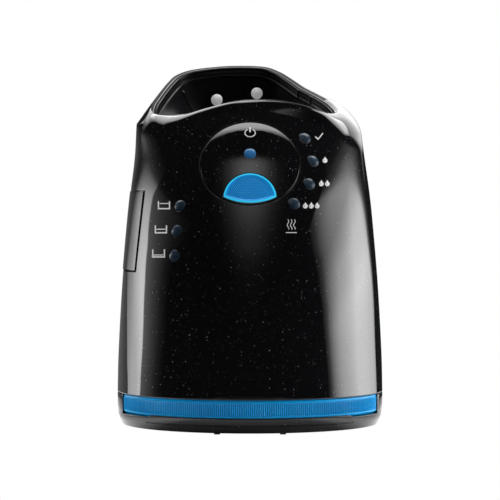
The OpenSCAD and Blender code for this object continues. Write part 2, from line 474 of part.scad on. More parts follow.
// ---------------------------------------------------------------- start key
module key_cap() {
  O = key_grid(key_r, 0); I = key_grid(key_r, -2.1);
  M = len(O); n = 36;
  color([0.03, 0.03, 0.035]) key_frame() resize([0, 0, 0]) difference() {
    polyhedron(points = concat([for (k = [1:M - 1]) for (p = O[k]) p], [for (k = [1:M - 1]) for (p = I[k]) p], [O[0][0], I[0][0]]),
      faces = let(N = n * (M - 1)) concat(
        [for (k = [0:M - 3]) for (c = [0:n - 1]) let(d = (c + 1) % n, a = k * n + c, b = k * n + d, e = (k + 1) * n + c, f = (k + 1) * n + d)
          for (q = [[a, b, f], [a, f, e], [a + N, f + N, b + N], [a + N, e + N, f + N]]) q],
        [for (c = [0:n - 1]) let(d = (c + 1) % n) for (q = [[2 * N, d, c], [2 * N + 1, c + N, d + N]]) q],
        [for (c = [0:n - 1]) let(d = (c + 1) % n, a = (M - 2) * n + c, b = (M - 2) * n + d) for (q = [[a, b, b + N], [a, b + N, a + N]]) q]));
    // half-moon pad and lens openings
    translate([0, 0, -10]) intersection() { translate([0, pad_q, 0]) cylinder(r = pad_r + 0.1, h = 20, $fn = 48); cylinder(r = key_r - 1, h = 20, $fn = 72); }
    translate([0, lens_q, -10]) cylinder(r = lens_r + lens_gap, h = 20, $fn = 24);
  }
}
module key_pad() {
  // follows the key's own curve, a little below it
  n = 12;
  color([0.12, 0.5, 0.8]) key_frame() resize([0, 0, 0]) intersection() {
    translate([0, pad_q, -20]) cylinder(r = pad_r, h = 40, $fn = 48);
    translate([0, 0, -20]) cylinder(r = key_r - 1.1, h = 40, $fn = 72);
    walled([for (j = [0:n]) let(q = -23 + 17 * j / n) [for (k = [0:n]) let(p = -13 + 26 * k / n) [p, q, key_w(p, q) + 0.1]]],
      [for (j = [0:n]) let(q = -23 + 17 * j / n) [for (k = [0:n]) let(p = -13 + 26 * k / n) [p, q, key_w(p, q) - 2.4]]]);
  }
}
module key_lens() {
  color([0.1, 0.45, 0.8]) key_frame() translate([0, lens_q, -4.4]) intersection() { cylinder(r = lens_r, h = 6); translate([0, 0, -3.4]) sphere(r = 8.9); }
}
module key_rocker() {
  color([0.85, 0.86, 0.87]) key_frame() difference() {
    union() {
      for (s = [-1, 1]) {
        box([s * 12 - 1.3, -14, -8.6], [s * 12 + 1.3, PQ, -6.2]);
        translate([s * 12 - 1.3, PQ, PW]) rotate([0, 90, 0]) cylinder(r = 2.1, h = 2.6);
        translate([s * 12, 6, -6.3]) cylinder(r = 1.3, h = 3.1);
      }
      box([-13.3, -16, -8.6], [13.3, -12, -6.2]);
      translate([0, -14, -13.9]) cylinder(r = 1.6, h = 5.5);
    }
    translate([-20, PQ, PW]) rotate([0, 90, 0]) cylinder(r = 1.25, h = 40);
  }
}

// ---------------------------------------------------------------- release button and latch
function panel(y0, h, i) = let(yc = at(YC, h), b = yc - at(YF, h) - i, y = yc - y0, u = 180 + asin(min(1, y0 / b)),
  a = half_w(u, h) - i) [-a * sqrt(1 - (y0 / b)^2), y, h];
module release_button() {
  nr = 8; nc = 10;
  color([0.04, 0.04, 0.045]) walled(
    [for (r = [0:nr]) let(h = 74.6 + 38.6 * r / nr, e = at(BUTTON_EDGE, h) - 0.75) [for (c = [0:nc]) panel(0.4 + e * c / nc, h, -0.3)]],
    [for (r = [0:nr]) let(h = 74.6 + 38.6 * r / nr, e = at(BUTTON_EDGE, h) - 0.75) [for (c = [0:nc]) panel(0.4 + e * c / nc, h, 2.1)]]);
}
module release_stem() {
  color([0.2, 0.2, 0.22]) union() { translate([-56.6, -8, 82.4]) rotate([0, 90, 0]) cylinder(r = 3, h = 12); translate([-57.4, -8, 82.4]) rotate([0, 90, 0]) cylinder(r = 5, h = 1.6); }
}
module latch_lever() {
  color([0.88, 0.88, 0.86]) difference() {
    union() {
      translate([0, 0, 79.6]) linear_extrude(5) union() {
        polygon([[-44, -12], [-40, -12], [-36.5, 12], [-43.5, 14]]);
        polygon([[-43.5, 14], [-36.5, 12], [-31.3, 27], [-31.3, 32], [-36, 32]]);
        translate([-40, 14]) circle(r = 5);
      }
    }
    rod(-40, 14, 70, 90, 2.05);
  }
}

base_tray();
bottom_cover();
front_feet();
rear_feet();
base_screws();
rear_column();
column_cover();
power_board();
transformer();
power_inlet();
inlet_pins();
guide_rods();
lift_springs();
latch_catch();
cartridge_tub();
cartridge_top();
cartridge_filter();
front_shell();
rear_shell();
well_collar();
wash_bowl();
bowl_seal();
drying_coil();
drain_spout();
main_deck();
guide_bushes();
pump_housing();
pump_motor();
motor_cap();
suction_tube();
delivery_hose();
control_board();
led_set();
status_lenses();
tact_switch();
key_carrier();
key_hinge_pin();
release_guide();
latch_pivot_pin();
latch_spring();
contact_cups();
contact_leaves();
deck_screws();
key_cap();
key_pad();
key_lens();
key_rocker();
release_button();
release_stem();
latch_lever();
contact_pin_left();
contact_pin_right();
pump_shaft();
pump_impeller();
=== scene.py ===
import json
import math

import bpy
import numpy as np
from mathutils import Matrix, Vector
from mathutils.geometry import delaunay_2d_cdt


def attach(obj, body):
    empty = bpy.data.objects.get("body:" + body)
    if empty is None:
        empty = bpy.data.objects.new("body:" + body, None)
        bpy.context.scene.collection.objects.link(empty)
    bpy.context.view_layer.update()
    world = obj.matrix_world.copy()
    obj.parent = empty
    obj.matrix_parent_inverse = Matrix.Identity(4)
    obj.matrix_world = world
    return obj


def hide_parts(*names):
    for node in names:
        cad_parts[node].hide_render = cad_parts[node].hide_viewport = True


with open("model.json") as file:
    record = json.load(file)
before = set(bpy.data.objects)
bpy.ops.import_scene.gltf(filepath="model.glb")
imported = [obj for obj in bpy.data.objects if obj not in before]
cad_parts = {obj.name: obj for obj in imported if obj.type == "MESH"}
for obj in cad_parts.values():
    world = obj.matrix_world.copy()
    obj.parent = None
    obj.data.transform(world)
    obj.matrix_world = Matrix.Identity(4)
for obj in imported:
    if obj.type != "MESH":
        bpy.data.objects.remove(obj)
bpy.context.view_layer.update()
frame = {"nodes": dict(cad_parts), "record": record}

# ------------------------------------------------------------------ camera, floor, background and lights
sc = bpy.context.scene
sc.view_settings.view_transform = "Standard"
sc.view_settings.look = "None"


def link(o):
    sc.collection.objects.link(o)
    return o


cam = link(bpy.data.objects.new("camera", bpy.data.cameras.new("camera")))
cam.data.lens, cam.data.sensor_width = 147.1, 36
cam.data.clip_start, cam.data.clip_end = 0.05, 20
cam.location = (0, -1.0, 0.1086)
cam.rotation_euler = (math.radians(90 - 1.402), 0, 0)
sc.camera = cam


class Nodes:
    """Short-hand for building a node tree."""

    def __init__(self, owner):
        owner.use_nodes = True
        self.t = owner.node_tree
        self.t.nodes.clear()

    def n(self, kind, **kw):
        node = self.t.nodes.new(kind)
        for k, v in kw.items():
            if k.startswith("i_"):
                key = k[2:]
                key = int(key) if key.isdigit() else key.replace("_", " ")
                self.put(node.inputs[key], v)
            else:
                setattr(node, k, v)
        return node

    def put(self, socket, v):
        if isinstance(v, bpy.types.NodeSocket):
            self.t.links.new(v, socket)
        elif isinstance(v, bpy.types.Node):
            self.t.links.new(v.outputs[0], socket)
        else:
            socket.default_value = v

    def math(self, op, a, b=0.0, c=0.0, clamp=False):
        m = self.n("ShaderNodeMath", operation=op, use_clamp=clamp)
        for s, v in zip(m.inputs, (a, b, c)):
            self.put(s, v)
        return m.outputs[0]

    def ramp(self, fac, stops, mode="LINEAR"):
        r = self.n("ShaderNodeValToRGB")
        r.color_ramp.interpolation = mode
        e = r.color_ramp.elements
        rgba = [c if hasattr(c, "__len__") else (c, c, c, 1) for p, c in stops]
        e[0].position, e[1].position = stops[0][0], stops[-1][0]
        e[0].color, e[1].color = rgba[0], rgba[-1]
        for (p, c), v in list(zip(stops, rgba))[1:-1]:
            e.new(p).color = v
        self.put(r.inputs[0], fac)
        return r.outputs[0]


world = bpy.data.worlds.new("world")
sc.world = world
w = Nodes(world)
path = w.n("ShaderNodeLightPath")
back = w.n("ShaderNodeBackground", i_Color=(0.30, 0.31, 0.33, 1), i_Strength=0.05)
white = w.n("ShaderNodeBackground", i_Color=(1, 1, 1, 1), i_Strength=1.0)
mix = w.n("ShaderNodeMixShader", i_0=path.outputs["Is Camera Ray"], i_1=back, i_2=white)
w.n("ShaderNodeOutputWorld", i_Surface=mix)


def area(name, place, aim, size, power, nodes=None, spread=math.pi, lean=0.0):
    """A soft box at a place in metres, facing a point. nodes(n) may return an emission colour."""
    L = bpy.data.lights.new(name, "AREA")
    L.shape = "RECTANGLE"
    L.size, L.size_y = size
    L.energy = power
    L.spread = spread
    o = link(bpy.data.objects.new(name, L))
    o.location = place
    d = np.array(aim, float) - np.array(place, float)
    d /= np.linalg.norm(d)
    z = -d
    x = np.cross((0, 0, 1), z)
    x = x / np.linalg.norm(x) if np.linalg.norm(x) > 1e-6 else np.array((1.0, 0, 0))
    y = np.cross(z, x)
    c, k = math.cos(math.radians(lean)), math.sin(math.radians(lean))
    x, y = c * x - k * y, k * x + c * y
    m = np.eye(4)
    m[:3, 0], m[:3, 1], m[:3, 2], m[:3, 3] = x, y, z, place
    o.matrix_world = Matrix(m.tolist())
    if nodes:
        n = Nodes(L)
        e = n.n("ShaderNodeEmission")
        n.put(e.inputs["Strength"], nodes(n, place, x / size[0], y / size[1]))
        n.n("ShaderNodeOutputLight", i_Surface=e)
    return o


def across(n, place, x, y, stops_u, stops_v):
    """Emission that changes over a soft box, along its width and height."""
    at = n.n("ShaderNodeVectorMath", operation="SUBTRACT", i_0=n.n("ShaderNodeNewGeometry").outputs["Position"], i_1=tuple(place))
    u, v = (n.math("ADD", n.n("ShaderNodeVectorMath", operation="DOT_PRODUCT", i_0=at, i_1=tuple(k)).outputs["Value"], 0.5) for k in (x, y))
    return n.math("MULTIPLY", n.ramp(u, stops_u), n.ramp(v, stops_v))


def soft_box(name, az, el, dist, wide, high, radiance, along=None, up=None, lean=0.0, aim=(0, 0, 0.09), slant=None):
    """A soft box seen from the object at azimuth az (0 towards the camera, 90 to the right) and elevation el,
    wide by high degrees across, turned by lean in its own plane. along and up are ramps in degrees from its middle.
    slant is (slope, ramp): a third ramp across a line that rises by slope with the azimuth."""
    a, b = math.radians(az), math.radians(el)
    d = np.array([math.sin(a) * math.cos(b), -math.cos(a) * math.cos(b), math.sin(b)])
    w2, h2 = dist * math.tan(math.radians(wide / 2)), dist * math.tan(math.radians(high / 2))

    def ramp_of(stops, half):
        return [(min(1, max(0, 0.5 + 0.5 * dist * math.tan(math.radians(p)) / half)), v) for p, v in stops]
    ru = ramp_of(along or [(-wide / 2, 1), (wide / 2, 1)], w2)
    rv = ramp_of(up or [(-high / 2, 1), (high / 2, 1)], h2)
    x0 = np.cross((0, 0, 1), d)
    x0 /= np.linalg.norm(x0)
    y0 = np.cross(d, x0)

    def glow(n, place, x, y):
        v = across(n, place, x, y, ru, rv)
        if slant:
            at = n.n("ShaderNodeVectorMath", operation="SUBTRACT", i_0=n.n("ShaderNodeNewGeometry").outputs["Position"], i_1=tuple(place))
            k = n.n("ShaderNodeVectorMath", operation="DOT_PRODUCT", i_0=at, i_1=tuple((y0 - slant[0] * x0) * math.degrees(1) / dist / 120))
            v = n.math("MULTIPLY", v, n.ramp(n.math("ADD", k.outputs["Value"], 0.5), [(0.5 + q / 120, c) for q, c in slant[1]]))
        return v
    area(name, np.array(aim) + d * dist, aim, (2 * w2, 2 * h2), radiance * 4 * w2 * h2 * math.pi, nodes=glow, lean=lean)


soft_box("left_strip", -100, 20, 1.6, 100, 80, 7.3, [(-50, 0.05), (-42, 0.15), (-34, 0.25), (-24, 0.4), (-15, 0.64), (-9, 0.79), (-4, 0.95), (-1, 1), (-0.2, 1), (0.4, 0.17), (10, 0.08), (18, 0.02), (24, 0), (50, 0)],
         [(-40, 0.5), (-30, 0.6), (-20, 0.95), (-8, 1), (40, 1)], lean=30, slant=(0.4, [(-10, 1), (-5.5, 0.92), (-0.1, 0.72), (3.1, 0.55), (4.2, 0.41), (5.9, 0.22), (6.9, 0.06), (8.5, 0.02), (12, 0)]))
soft_box("right_box", 103, 16, 1.6, 84, 52, 9.8, [(-41, 0), (-36, 0.10), (-28, 0.48), (-19, 0.8), (-9, 0.92), (3, 1), (16, 0.72), (26, 0.48), (31, 0.4), (41, 0.2)],
         [(-24, 0.74), (-15, 0.8), (-11, 0.92), (-7, 0.8), (-3, 0.75), (1, 0.6), (7, 0.44), (17, 0.48), (26, 0.4)],
         slant=(-0.57, [(7, 1), (9.5, 0.85), (11.5, 0.35), (13, 0.12), (16, 0.02), (20, 0)]))
soft_box("back_left", -152, 4, 1.6, 56, 26, 0.15, [(-28, 1), (16, 1), (28, 0.4)], [(-13, 1), (2, 1), (8, 0.15), (13, 0)])
soft_box("back_left_high", -142, 37, 1.6, 44, 26, 3.0, [(-22, 1), (10, 1), (22, 0.3)], [(-13, 0.2), (-6, 1), (13, 1)])
soft_box("back_right", 162, 28, 1.6, 44, 40, 3.2, [(-22, 0), (-14, 0.6), (0, 1), (22, 1)], [(-20, 0.2), (-8, 0.8), (6, 1), (20, 1)])
soft_box("front_panel", 0, 37, 1.8, 56, 66, 2.1, [(-28, 0), (-21, 0.05), (-15, 0.24), (-10, 0.55), (-5, 0.86), (0, 1), (5, 0.86), (10, 0.55), (15, 0.24), (21, 0.05), (28, 0)],
         [(-33, 0), (-19, 0.02), (-9, 0.07), (3, 0.19), (9, 0.34), (14, 0.46), (20, 0.74), (24, 0.9), (27, 0.8), (29, 0.5), (31, 0.05), (33, 0)])
area("top_box", (0, 0.65, 1.4), (0, 0.65, 0), (2.4, 1.26), 5.5 * 2.4 * 1.26 * math.pi,
     nodes=lambda n, place, x, y: across(n, place, x, y, [(0, 0.1), (0.1, 0.7), (0.2, 1), (0.8, 1), (0.9, 0.7), (1, 0.1)], [(0, 0), (0.03, 0.35), (0.12, 1), (1, 1)]))

# ------------------------------------------------------------------ materials


def material(name):
    m = bpy.data.materials.new(name)
    n = Nodes(m)
    p = n.n("ShaderNodeBsdfPrincipled")
    n.n("ShaderNodeOutputMaterial", i_Surface=p)
    tc = n.n("ShaderNodeTexCoord").outputs["Object"]
    return m, n, p, tc


def noise(n, tc, scale, detail=2.0, rough=0.5):
    return n.n("ShaderNodeTexNoise", i_Vector=tc, i_Scale=scale, i_Detail=detail, i_Roughness=rough).outputs[0]


def bump(n, p, height, strength, distance=0.0001):
    b = n.n("ShaderNodeBump", i_Strength=strength, i_Distance=distance, i_Height=height)
    n.put(p.inputs["Normal"], b)
    return b


def gloss(name, base=(0.0045, 0.0045, 0.0052), flecks=1.0, rough=0.045, shine=0.5):
    """Polished black moulding with sparse light flakes set in it."""
    m, n, p, tc = material(name)
    total = None
    for scale, size, share, bright in ((1000, 0.165, 0.26, 0.8), (460, 0.07, 0.16, 1.7), (1500, 0.2, 0.4, 0.13)):
        v = n.n("ShaderNodeTexVoronoi", feature="F1", i_Vector=tc, i_Scale=scale, i_Randomness=1.0)
        c = n.n("ShaderNodeSeparateColor", i_0=v.outputs["Color"])
        inside = n.math("MULTIPLY", n.math("SUBTRACT", size, v.outputs["Distance"]), 1 / (0.35 * size), clamp=True)
        some = n.math("LESS_THAN", c.outputs[0], share)
        amount = n.math("MULTIPLY", n.math("MULTIPLY", inside, some), n.math("MULTIPLY_ADD", n.math("POWER", c.outputs[1], 3.0), bright, bright * 0.08))
        total = amount if total is None else n.math("ADD", total, amount)
    total = n.math("MULTIPLY", total, flecks, clamp=True)
    cloud = noise(n, tc, 60, 3)
    tone = n.math("MULTIPLY_ADD", cloud, 0.35, 0.82)
    dark = n.n("ShaderNodeMix", data_type="RGBA", blend_type="MULTIPLY", i_Factor=1.0)
    n.put(dark.inputs[6], (*base, 1))
    n.put(dark.inputs[7], tone)
    col = n.n("ShaderNodeMix", data_type="RGBA")
    n.put(col.inputs[0], total)
    n.put(col.inputs[6], dark.outputs[2])
    n.put(col.inputs[7], (0.82, 0.84, 0.88, 1))
    n.put(p.inputs["Base Color"], col.outputs[2])
    n.put(p.inputs["Roughness"], n.math("MULTIPLY_ADD", noise(n, tc, 900, 2), 0.02, rough - 0.01))
    p.inputs["IOR"].default_value = 1.5
    p.inputs["Specular IOR Level"].default_value = shine
    bump(n, p, noise(n, tc, 90, 2, 0.4), 0.05, 0.00005)
    return m


def plastic(name, base, rough=0.45, grain=1400.0, strength=0.25, tint=0.12, ior=1.5, metal=0.0):
    """Moulded plastic with a fine grain and slightly uneven tone."""
    m, n, p, tc = material(name)
    tone = n.math("MULTIPLY_ADD", noise(n, tc, 45, 3), 2 * tint, 1 - tint)
    mixn = n.n("ShaderNodeMix", data_type="RGBA", blend_type="MULTIPLY", i_Factor=1.0)
    n.put(mixn.inputs[6], (*base, 1))
    n.put(mixn.inputs[7], tone)
    n.put(p.inputs["Base Color"], mixn.outputs[2])
    n.put(p.inputs["Roughness"], n.math("MULTIPLY_ADD", noise(n, tc, 300, 2), 0.12, rough - 0.06))
    p.inputs["IOR"].default_value = ior
    p.inputs["Metallic"].default_value = metal
    bump(n, p, noise(n, tc, grain, 3), strength, 0.00008)
    return m


def metal(name, base, rough=0.25, along=(1, 1, 14), scale=160.0, strength=0.12):
    """Drawn or brushed metal with fine lines along one direction."""
    m, n, p, tc = material(name)
    mp = n.n("ShaderNodeMapping", i_Vector=tc, i_Scale=along)
    lines = noise(n, mp.outputs[0], scale, 4, 0.6)
    tone = n.math("MULTIPLY_ADD", lines, 0.3, 0.85)
    mixn = n.n("ShaderNodeMix", data_type="RGBA", blend_type="MULTIPLY", i_Factor=1.0)
    n.put(mixn.inputs[6], (*base, 1))
    n.put(mixn.inputs[7], tone)
    n.put(p.inputs["Base Color"], mixn.outputs[2])
    n.put(p.inputs["Roughness"], n.math("MULTIPLY_ADD", lines, 0.2, rough - 0.1))
    p.inputs["Metallic"].default_value = 1.0
    bump(n, p, lines, strength, 0.00005)
    return m


def board(name):
    """Circuit board: solder mask over tracks, with pads."""
    m, n, p, tc = material(name)
    v = n.n("ShaderNodeTexVoronoi", feature="DISTANCE_TO_EDGE", distance="EUCLIDEAN", i_Vector=tc, i_Scale=170.0)
    track = n.math("LESS_THAN", v.outputs[0], 0.06)
    dots = n.n("ShaderNodeTexVoronoi", feature="F1", i_Vector=tc, i_Scale=330.0, i_Randomness=0.6)
    pad = n.math("LESS_THAN", dots.outputs["Distance"], 0.16)
    c = n.n("ShaderNodeMix", data_type="RGBA")
    n.put(c.inputs[0], track)
    n.put(c.inputs[6], (0.008, 0.075, 0.035, 1))
    n.put(c.inputs[7], (0.02, 0.14, 0.06, 1))
    d = n.n("ShaderNodeMix", data_type="RGBA")
    n.put(d.inputs[0], pad)
    n.put(d.inputs[6], c.outputs[2])
    n.put(d.inputs[7], (0.6, 0.6, 0.58, 1))
    n.put(p.inputs["Base Color"], d.outputs[2])
    n.put(p.inputs["Roughness"], n.math("MULTIPLY_ADD", pad, -0.15, 0.4))
    bump(n, p, n.math("ADD", track, pad), 0.3, 0.0001)
    return m


def tinted(name, deep, bright, rough=0.16, glow=0.0, lift=0.0, cloudy=38.0, shine=0.5):
    """Translucent-looking tinted plastic: deep and bright tones mixed at random by a noise cloud. glow adds emission: a
    painted glow on every part here but the key lamp.
    """
    m, n, p, tc = material(name)
    cloud = noise(n, tc, cloudy, 2)
    p.inputs["Specular IOR Level"].default_value = shine
    c = n.n("ShaderNodeMix", data_type="RGBA")
    n.put(c.inputs[0], n.math("MULTIPLY_ADD", cloud, 1.2, -0.1, clamp=True))
    n.put(c.inputs[6], (*deep, 1))
    n.put(c.inputs[7], (*bright, 1))
    n.put(p.inputs["Base Color"], c.outputs[2])
    n.put(p.inputs["Roughness"], n.math("MULTIPLY_ADD", noise(n, tc, 500, 2), 0.08, rough - 0.04))
    p.inputs["Subsurface Weight"].default_value = lift
    p.inputs["Subsurface Scale"].default_value = 0.002
    # glow is painted glow: emission standing in for light on parts that are no lamp
    if glow:
        n.put(p.inputs["Emission Color"], c.outputs[2])
        p.inputs["Emission Strength"].default_value = glow
    bump(n, p, noise(n, tc, 260, 2), 0.06, 0.00008)
    return m


M = {
    "shell": gloss("shell_gloss"),
    "rear": gloss("rear_gloss"),
    # rear_rim and crown_rim are copies of the gloss with reflection turned almost off, so the rims show dark: painted
    # shade
    "rear_rim": gloss("rear_rim_gloss", flecks=0.2, rough=0.3, shine=0.03),
    "crown_rim": gloss("crown_rim_gloss", flecks=0.5, rough=0.2, shine=0.01),
    "base": gloss("base_gloss", rough=0.07),
    "key": gloss("key_gloss"),
    "well": gloss("well_gloss", base=(0.006, 0.006, 0.007), flecks=0.0, rough=0.24, shine=0.05),
    "inner": plastic("inner_plastic", (0.035, 0.035, 0.038), 0.5),
    "light": plastic("light_plastic", (0.72, 0.72, 0.69), 0.38, 900),
    "rubber": plastic("rubber", (0.018, 0.018, 0.018), 0.8, 2600, 0.5),
    "steel": metal("steel", (0.62, 0.63, 0.65)),
    "bowl": metal("bowl_steel", (0.5, 0.51, 0.53), 0.3, (1, 1, 8)),
    "brass": metal("brass", (0.78, 0.6, 0.28), 0.25),
    "copper": metal("copper", (0.72, 0.36, 0.18), 0.3, (1, 1, 60), 60.0, 0.5),
    "board": board("board"),
    # the cartridge's glow 0.15 is a painted glow; the cartridge is no lamp
    "cart": tinted("cartridge_blue", (0.006, 0.27, 0.68), (0.011, 0.45, 0.90), 0.3, 0.15, 0.15, shine=0.2),
    # darker copy of the cartridge blue for the rib grooves: painted shade in the grooves, with a painted glow of 0.08
    "cart_groove_painted_shade": tinted("cartridge_groove_painted_shade", (0.004, 0.15, 0.42), (0.007, 0.26, 0.58), 0.25, 0.08, 0.1),
    "lid": plastic("cartridge_lid", (0.03, 0.19, 0.42), 0.3, 700),
    # the pad's glow 0.38 is a painted glow; the pad is no lamp
    "pad": tinted("pad_blue", (0.005, 0.24, 0.66), (0.008, 0.30, 0.76), 0.35, 0.38, shine=0.2),
    # brighter blue for the pad's border: a painted highlight where the translucent edge catches light, with painted
    # glow 0.6
    "pad_edge_painted_highlight": tinted("pad_edge_painted_highlight", (0.020, 0.50, 0.88), (0.035, 0.62, 0.95), 0.35, 0.6, shine=0.2),
    # darker blue for the dimples of the pad: painted shade in the dots, with painted glow 0.2
    "pad_dot_painted_shade": tinted("pad_dot_painted_shade", (0.003, 0.09, 0.30), (0.005, 0.12, 0.36), 0.4, 0.2, shine=0.15),
    "lamp_on": tinted("lamp_blue", (0.010, 0.10, 0.27), (0.022, 0.18, 0.42), 0.3, 0.22, cloudy=260.0, shine=0.3),
    "lamp_off": tinted("lamp_dark", (0.008, 0.018, 0.034), (0.032, 0.062, 0.096), 0.24, cloudy=420.0, shine=0.28),
    # contacts: near-white plastic with painted glow 0.22, a painted reflection standing in for the bright metal
    "chrome_painted_glint": tinted("contact_metal", (0.90, 0.90, 0.90), (0.97, 0.97, 0.97), 0.25, 0.22),
    "hose": plastic("hose", (0.55, 0.58, 0.6), 0.4, 500),
    # white print with a painted glow of 0.22
    "print": tinted("print_white", (0.70, 0.70, 0.70), (0.80, 0.80, 0.80), 0.5, 0.22),
}

SLOT_OF = {
    "shell_gloss": "shell", "rear_gloss": "rear", "well_gloss": "well", "base_gloss": "base", "inner_plastic": "inner",
    "light_plastic": "light", "rubber": "rubber", "steel": "steel", "bowl_steel": "bowl", "brass": "brass",
    "copper": "copper", "board": "board", "cartridge_blue": "cart", "cartridge_lid": "lid", "pad_blue": "pad",
    "lamp_blue": "lamp_on", "lamp_dark": "lamp_off", "contact_metal": "chrome_painted_glint", "hose": "hose",
}
for sub in frame["record"]["subparts"]:
    o = frame["nodes"].get(sub["node"])
    if o is not None:
        o.data.materials.clear()
        o.data.materials.append(M[SLOT_OF[sub["material_slot"]]])

floor_mat = bpy.data.materials.new("floor")
f = Nodes(floor_mat)
lp = f.n("ShaderNodeLightPath")
far = f.n("ShaderNodeVectorMath", operation="LENGTH", i_0=f.n("ShaderNodeTexCoord").outputs["Object"]).outputs["Value"]
# painted pool of light on the floor: its colour is pale near the object and darkens with distance
painted_light_pool = f.n("ShaderNodeBsdfDiffuse", i_Color=f.ramp(far, [(0.0, 0.8), (0.09, 0.8), (0.14, 0.5), (0.22, 0.25), (0.4, 0.15), (0.8, 0.1)], "EASE"))
clear = f.math("MULTIPLY", lp.outputs["Is Glossy Ray"], f.ramp(far, [(0.0, 0.0), (0.11, 0.0), (0.2, 1.0), (1.0, 1.0)]))
side = f.math("ABSOLUTE", f.n("ShaderNodeSeparateXYZ", i_0=f.n("ShaderNodeTexCoord").outputs["Object"]).outputs[0])
lit = f.n("ShaderNodeEmission", i_Strength=f.math("MULTIPLY", f.math("MULTIPLY", lp.outputs["Is Glossy Ray"], f.ramp(side, [(0.0, 0.0), (0.044, 0.0), (0.058, 1.0), (0.067, 1.0), (0.078, 0.1), (1.0, 0.0)])), 1.5))
near = f.n("ShaderNodeAddShader", i_0=painted_light_pool, i_1=lit)
ground = f.n("ShaderNodeMixShader", i_0=clear, i_1=near, i_2=f.n("ShaderNodeBsdfTransparent"))
emi = f.n("ShaderNodeEmission", i_Color=(1, 1, 1, 1), i_Strength=1.0)
f.n("ShaderNodeOutputMaterial", i_Surface=f.n("ShaderNodeMixShader", i_0=lp.outputs["Is Camera Ray"], i_1=ground, i_2=emi))
me = bpy.data.meshes.new("floor")
me.from_pydata([(-3, -1.2, 0), (3, -1.2, 0), (3, 4, 0), (-3, 4, 0)], [], [(0, 1, 2, 3)])
me.materials.append(floor_mat)
floor = link(bpy.data.objects.new("floor", me))
floor.location.z = -0.0002

# ------------------------------------------------------------------ the housing's surface, in millimetres
HW = [[16, 64.3], [30, 64.2], [50, 63.5], [70, 62.5], [90, 61], [110, 59.2], [130, 56.6], [146, 54.6], [160, 52], [178, 46]]
HWL = [[16, 64.3], [30, 64.2], [50, 63.5], [70, 62.5], [90, 61], [110, 59.2], [130, 57], [146, 56.3], [160, 55], [178, 50]]
YF = [[16, -60], [35, -59.5], [51, -58.4], [70, -56.1], [86, -52.3], [106, -44.2], [126, -32.9], [141, -22.5], [151, -14], [160, -5]]
YB = [[16, 60], [60, 60], [80, 59.9], [100, 59.6], [120, 58.9], [140, 57.6], [160, 55.4], [178, 52]]
YC = [[16, -8], [40, -3], [70, 3], [90, 6], [110, 9], [130, 12.5], [146, 15.5], [178, 20]]
RIM = [[0, 37.5, 14, 158.4], [20, 32.5, 22, 161.8], [38, 26.5, 29, 165.4], [55, 20.5, 36.5, 170],
       [68, 14.5, 42.5, 174], [80, 7, 46.5, 176.8], [95, -8, 48, 177.4], [110, -21, 47.5, 176.5],
       [122, -31, 44.5, 174.8], [133, -37.4, 39, 172], [145, -40.7, 31, 168.4], [162, -43.6, 22, 164],
       [180, -46.1, 14, 159.6], [190, -48, 7, 155.8], [199, -48.2, 1.5, 152.3], [207, -45, -2.8, 150.3],
       [217, -38, -6.3, 149.8], [228, -29, -8, 150.9], [240, -19, -8.3, 153.6], [255, -8, -8.3, 156.4],
       [270, 2, -8.3, 157.4], [285, 13, -9, 157], [300, 24, -9, 155.1], [313, 32, -8, 152.6],
       [325, 39, -4, 150.8], [338, 42.8, 2, 152.2], [349, 41, 8.3, 155.2]]
SH = [[0, 141, 1], [30, 141, 0.7], [55, 150, 0.7], [75, 160, 0.7], [95, 165, 0.7], [115, 160, 0.7],
      [130, 152, 0.4], [150, 147, 0.1], [180, 146.4, 0], [196, 145, 0], [206, 142, 0.5], [220, 141, 1],
      [240, 146, 1], [255, 149, 1], [270, 150, 1], [285, 149, 1], [300, 146, 1], [320, 141, 1],
      [340, 141, 1], [360, 141, 1]]
BUTTON_EDGE = [[74, 28.4], [84, 28.4], [94, 27.9], [104, 26.9], [113.8, 25.4]]
TS, WALL, SEAM = 0.7, 2.4, 16.0


def cubic(a, b, ma, mb, t):
    t2 = t * t
    t3 = t2 * t
    h = 3 * t2 - 2 * t3
    return (1 - h) * a + (t3 - 2 * t2 + t) * ma + h * b + (t3 - t2) * mb


class Table:
    def __init__(self, rows, k=1):
        self.x = np.array([r[0] for r in rows], float)
        self.y = np.array([r[k] for r in rows], float)
        lo = np.maximum(np.arange(len(rows)) - 1, 0)
        hi = np.minimum(np.arange(len(rows)) + 1, len(rows) - 1)
        self.m = (self.y[hi] - self.y[lo]) / (self.x[hi] - self.x[lo])

    def __call__(self, h):
        h = np.asarray(h, float)
        i = np.clip(np.searchsorted(self.x, h, side="right") - 1, 0, len(self.x) - 2)
        d = self.x[i + 1] - self.x[i]
        t = (h - self.x[i]) / d
        v = cubic(self.y[i], self.y[i + 1], d * self.m[i], d * self.m[i + 1], t)
        v = np.where(t < 0, self.y[i] + self.m[i] * (h - self.x[i]), v)
        return np.where(t > 1, self.y[i + 1] + self.m[i + 1] * (h - self.x[i + 1]), v)


t_hw, t_hwl, t_yf, t_yb, t_yc = (Table(x) for x in (HW, HWL, YF, YB, YC))
t_sz, t_sk = Table(SH, 1), Table(SH, 2)
t_edge = Table(BUTTON_EDGE)
_wide = [[r[0] - 360, *r[1:]] for r in RIM[-3:]] + RIM + [[r[0] + 360, *r[1:]] for r in RIM[:3]]
t_rim = [Table(_wide, k) for k in (1, 2, 3)]


def wrap(u):
    return np.mod(u, 360)


def rim(u):
    v = wrap(np.asarray(u, float))
    return np.stack([t(v) for t in t_rim], -1)


def rim_in(u):
    a, b = rim(np.asarray(u) - 1), rim(np.asarray(u) + 1)
    t = (b - a)[..., :2]
    t = t / np.linalg.norm(t, axis=-1, keepdims=True)
    return np.stack([-t[..., 1], t[..., 0], 0 * t[..., 0]], -1)


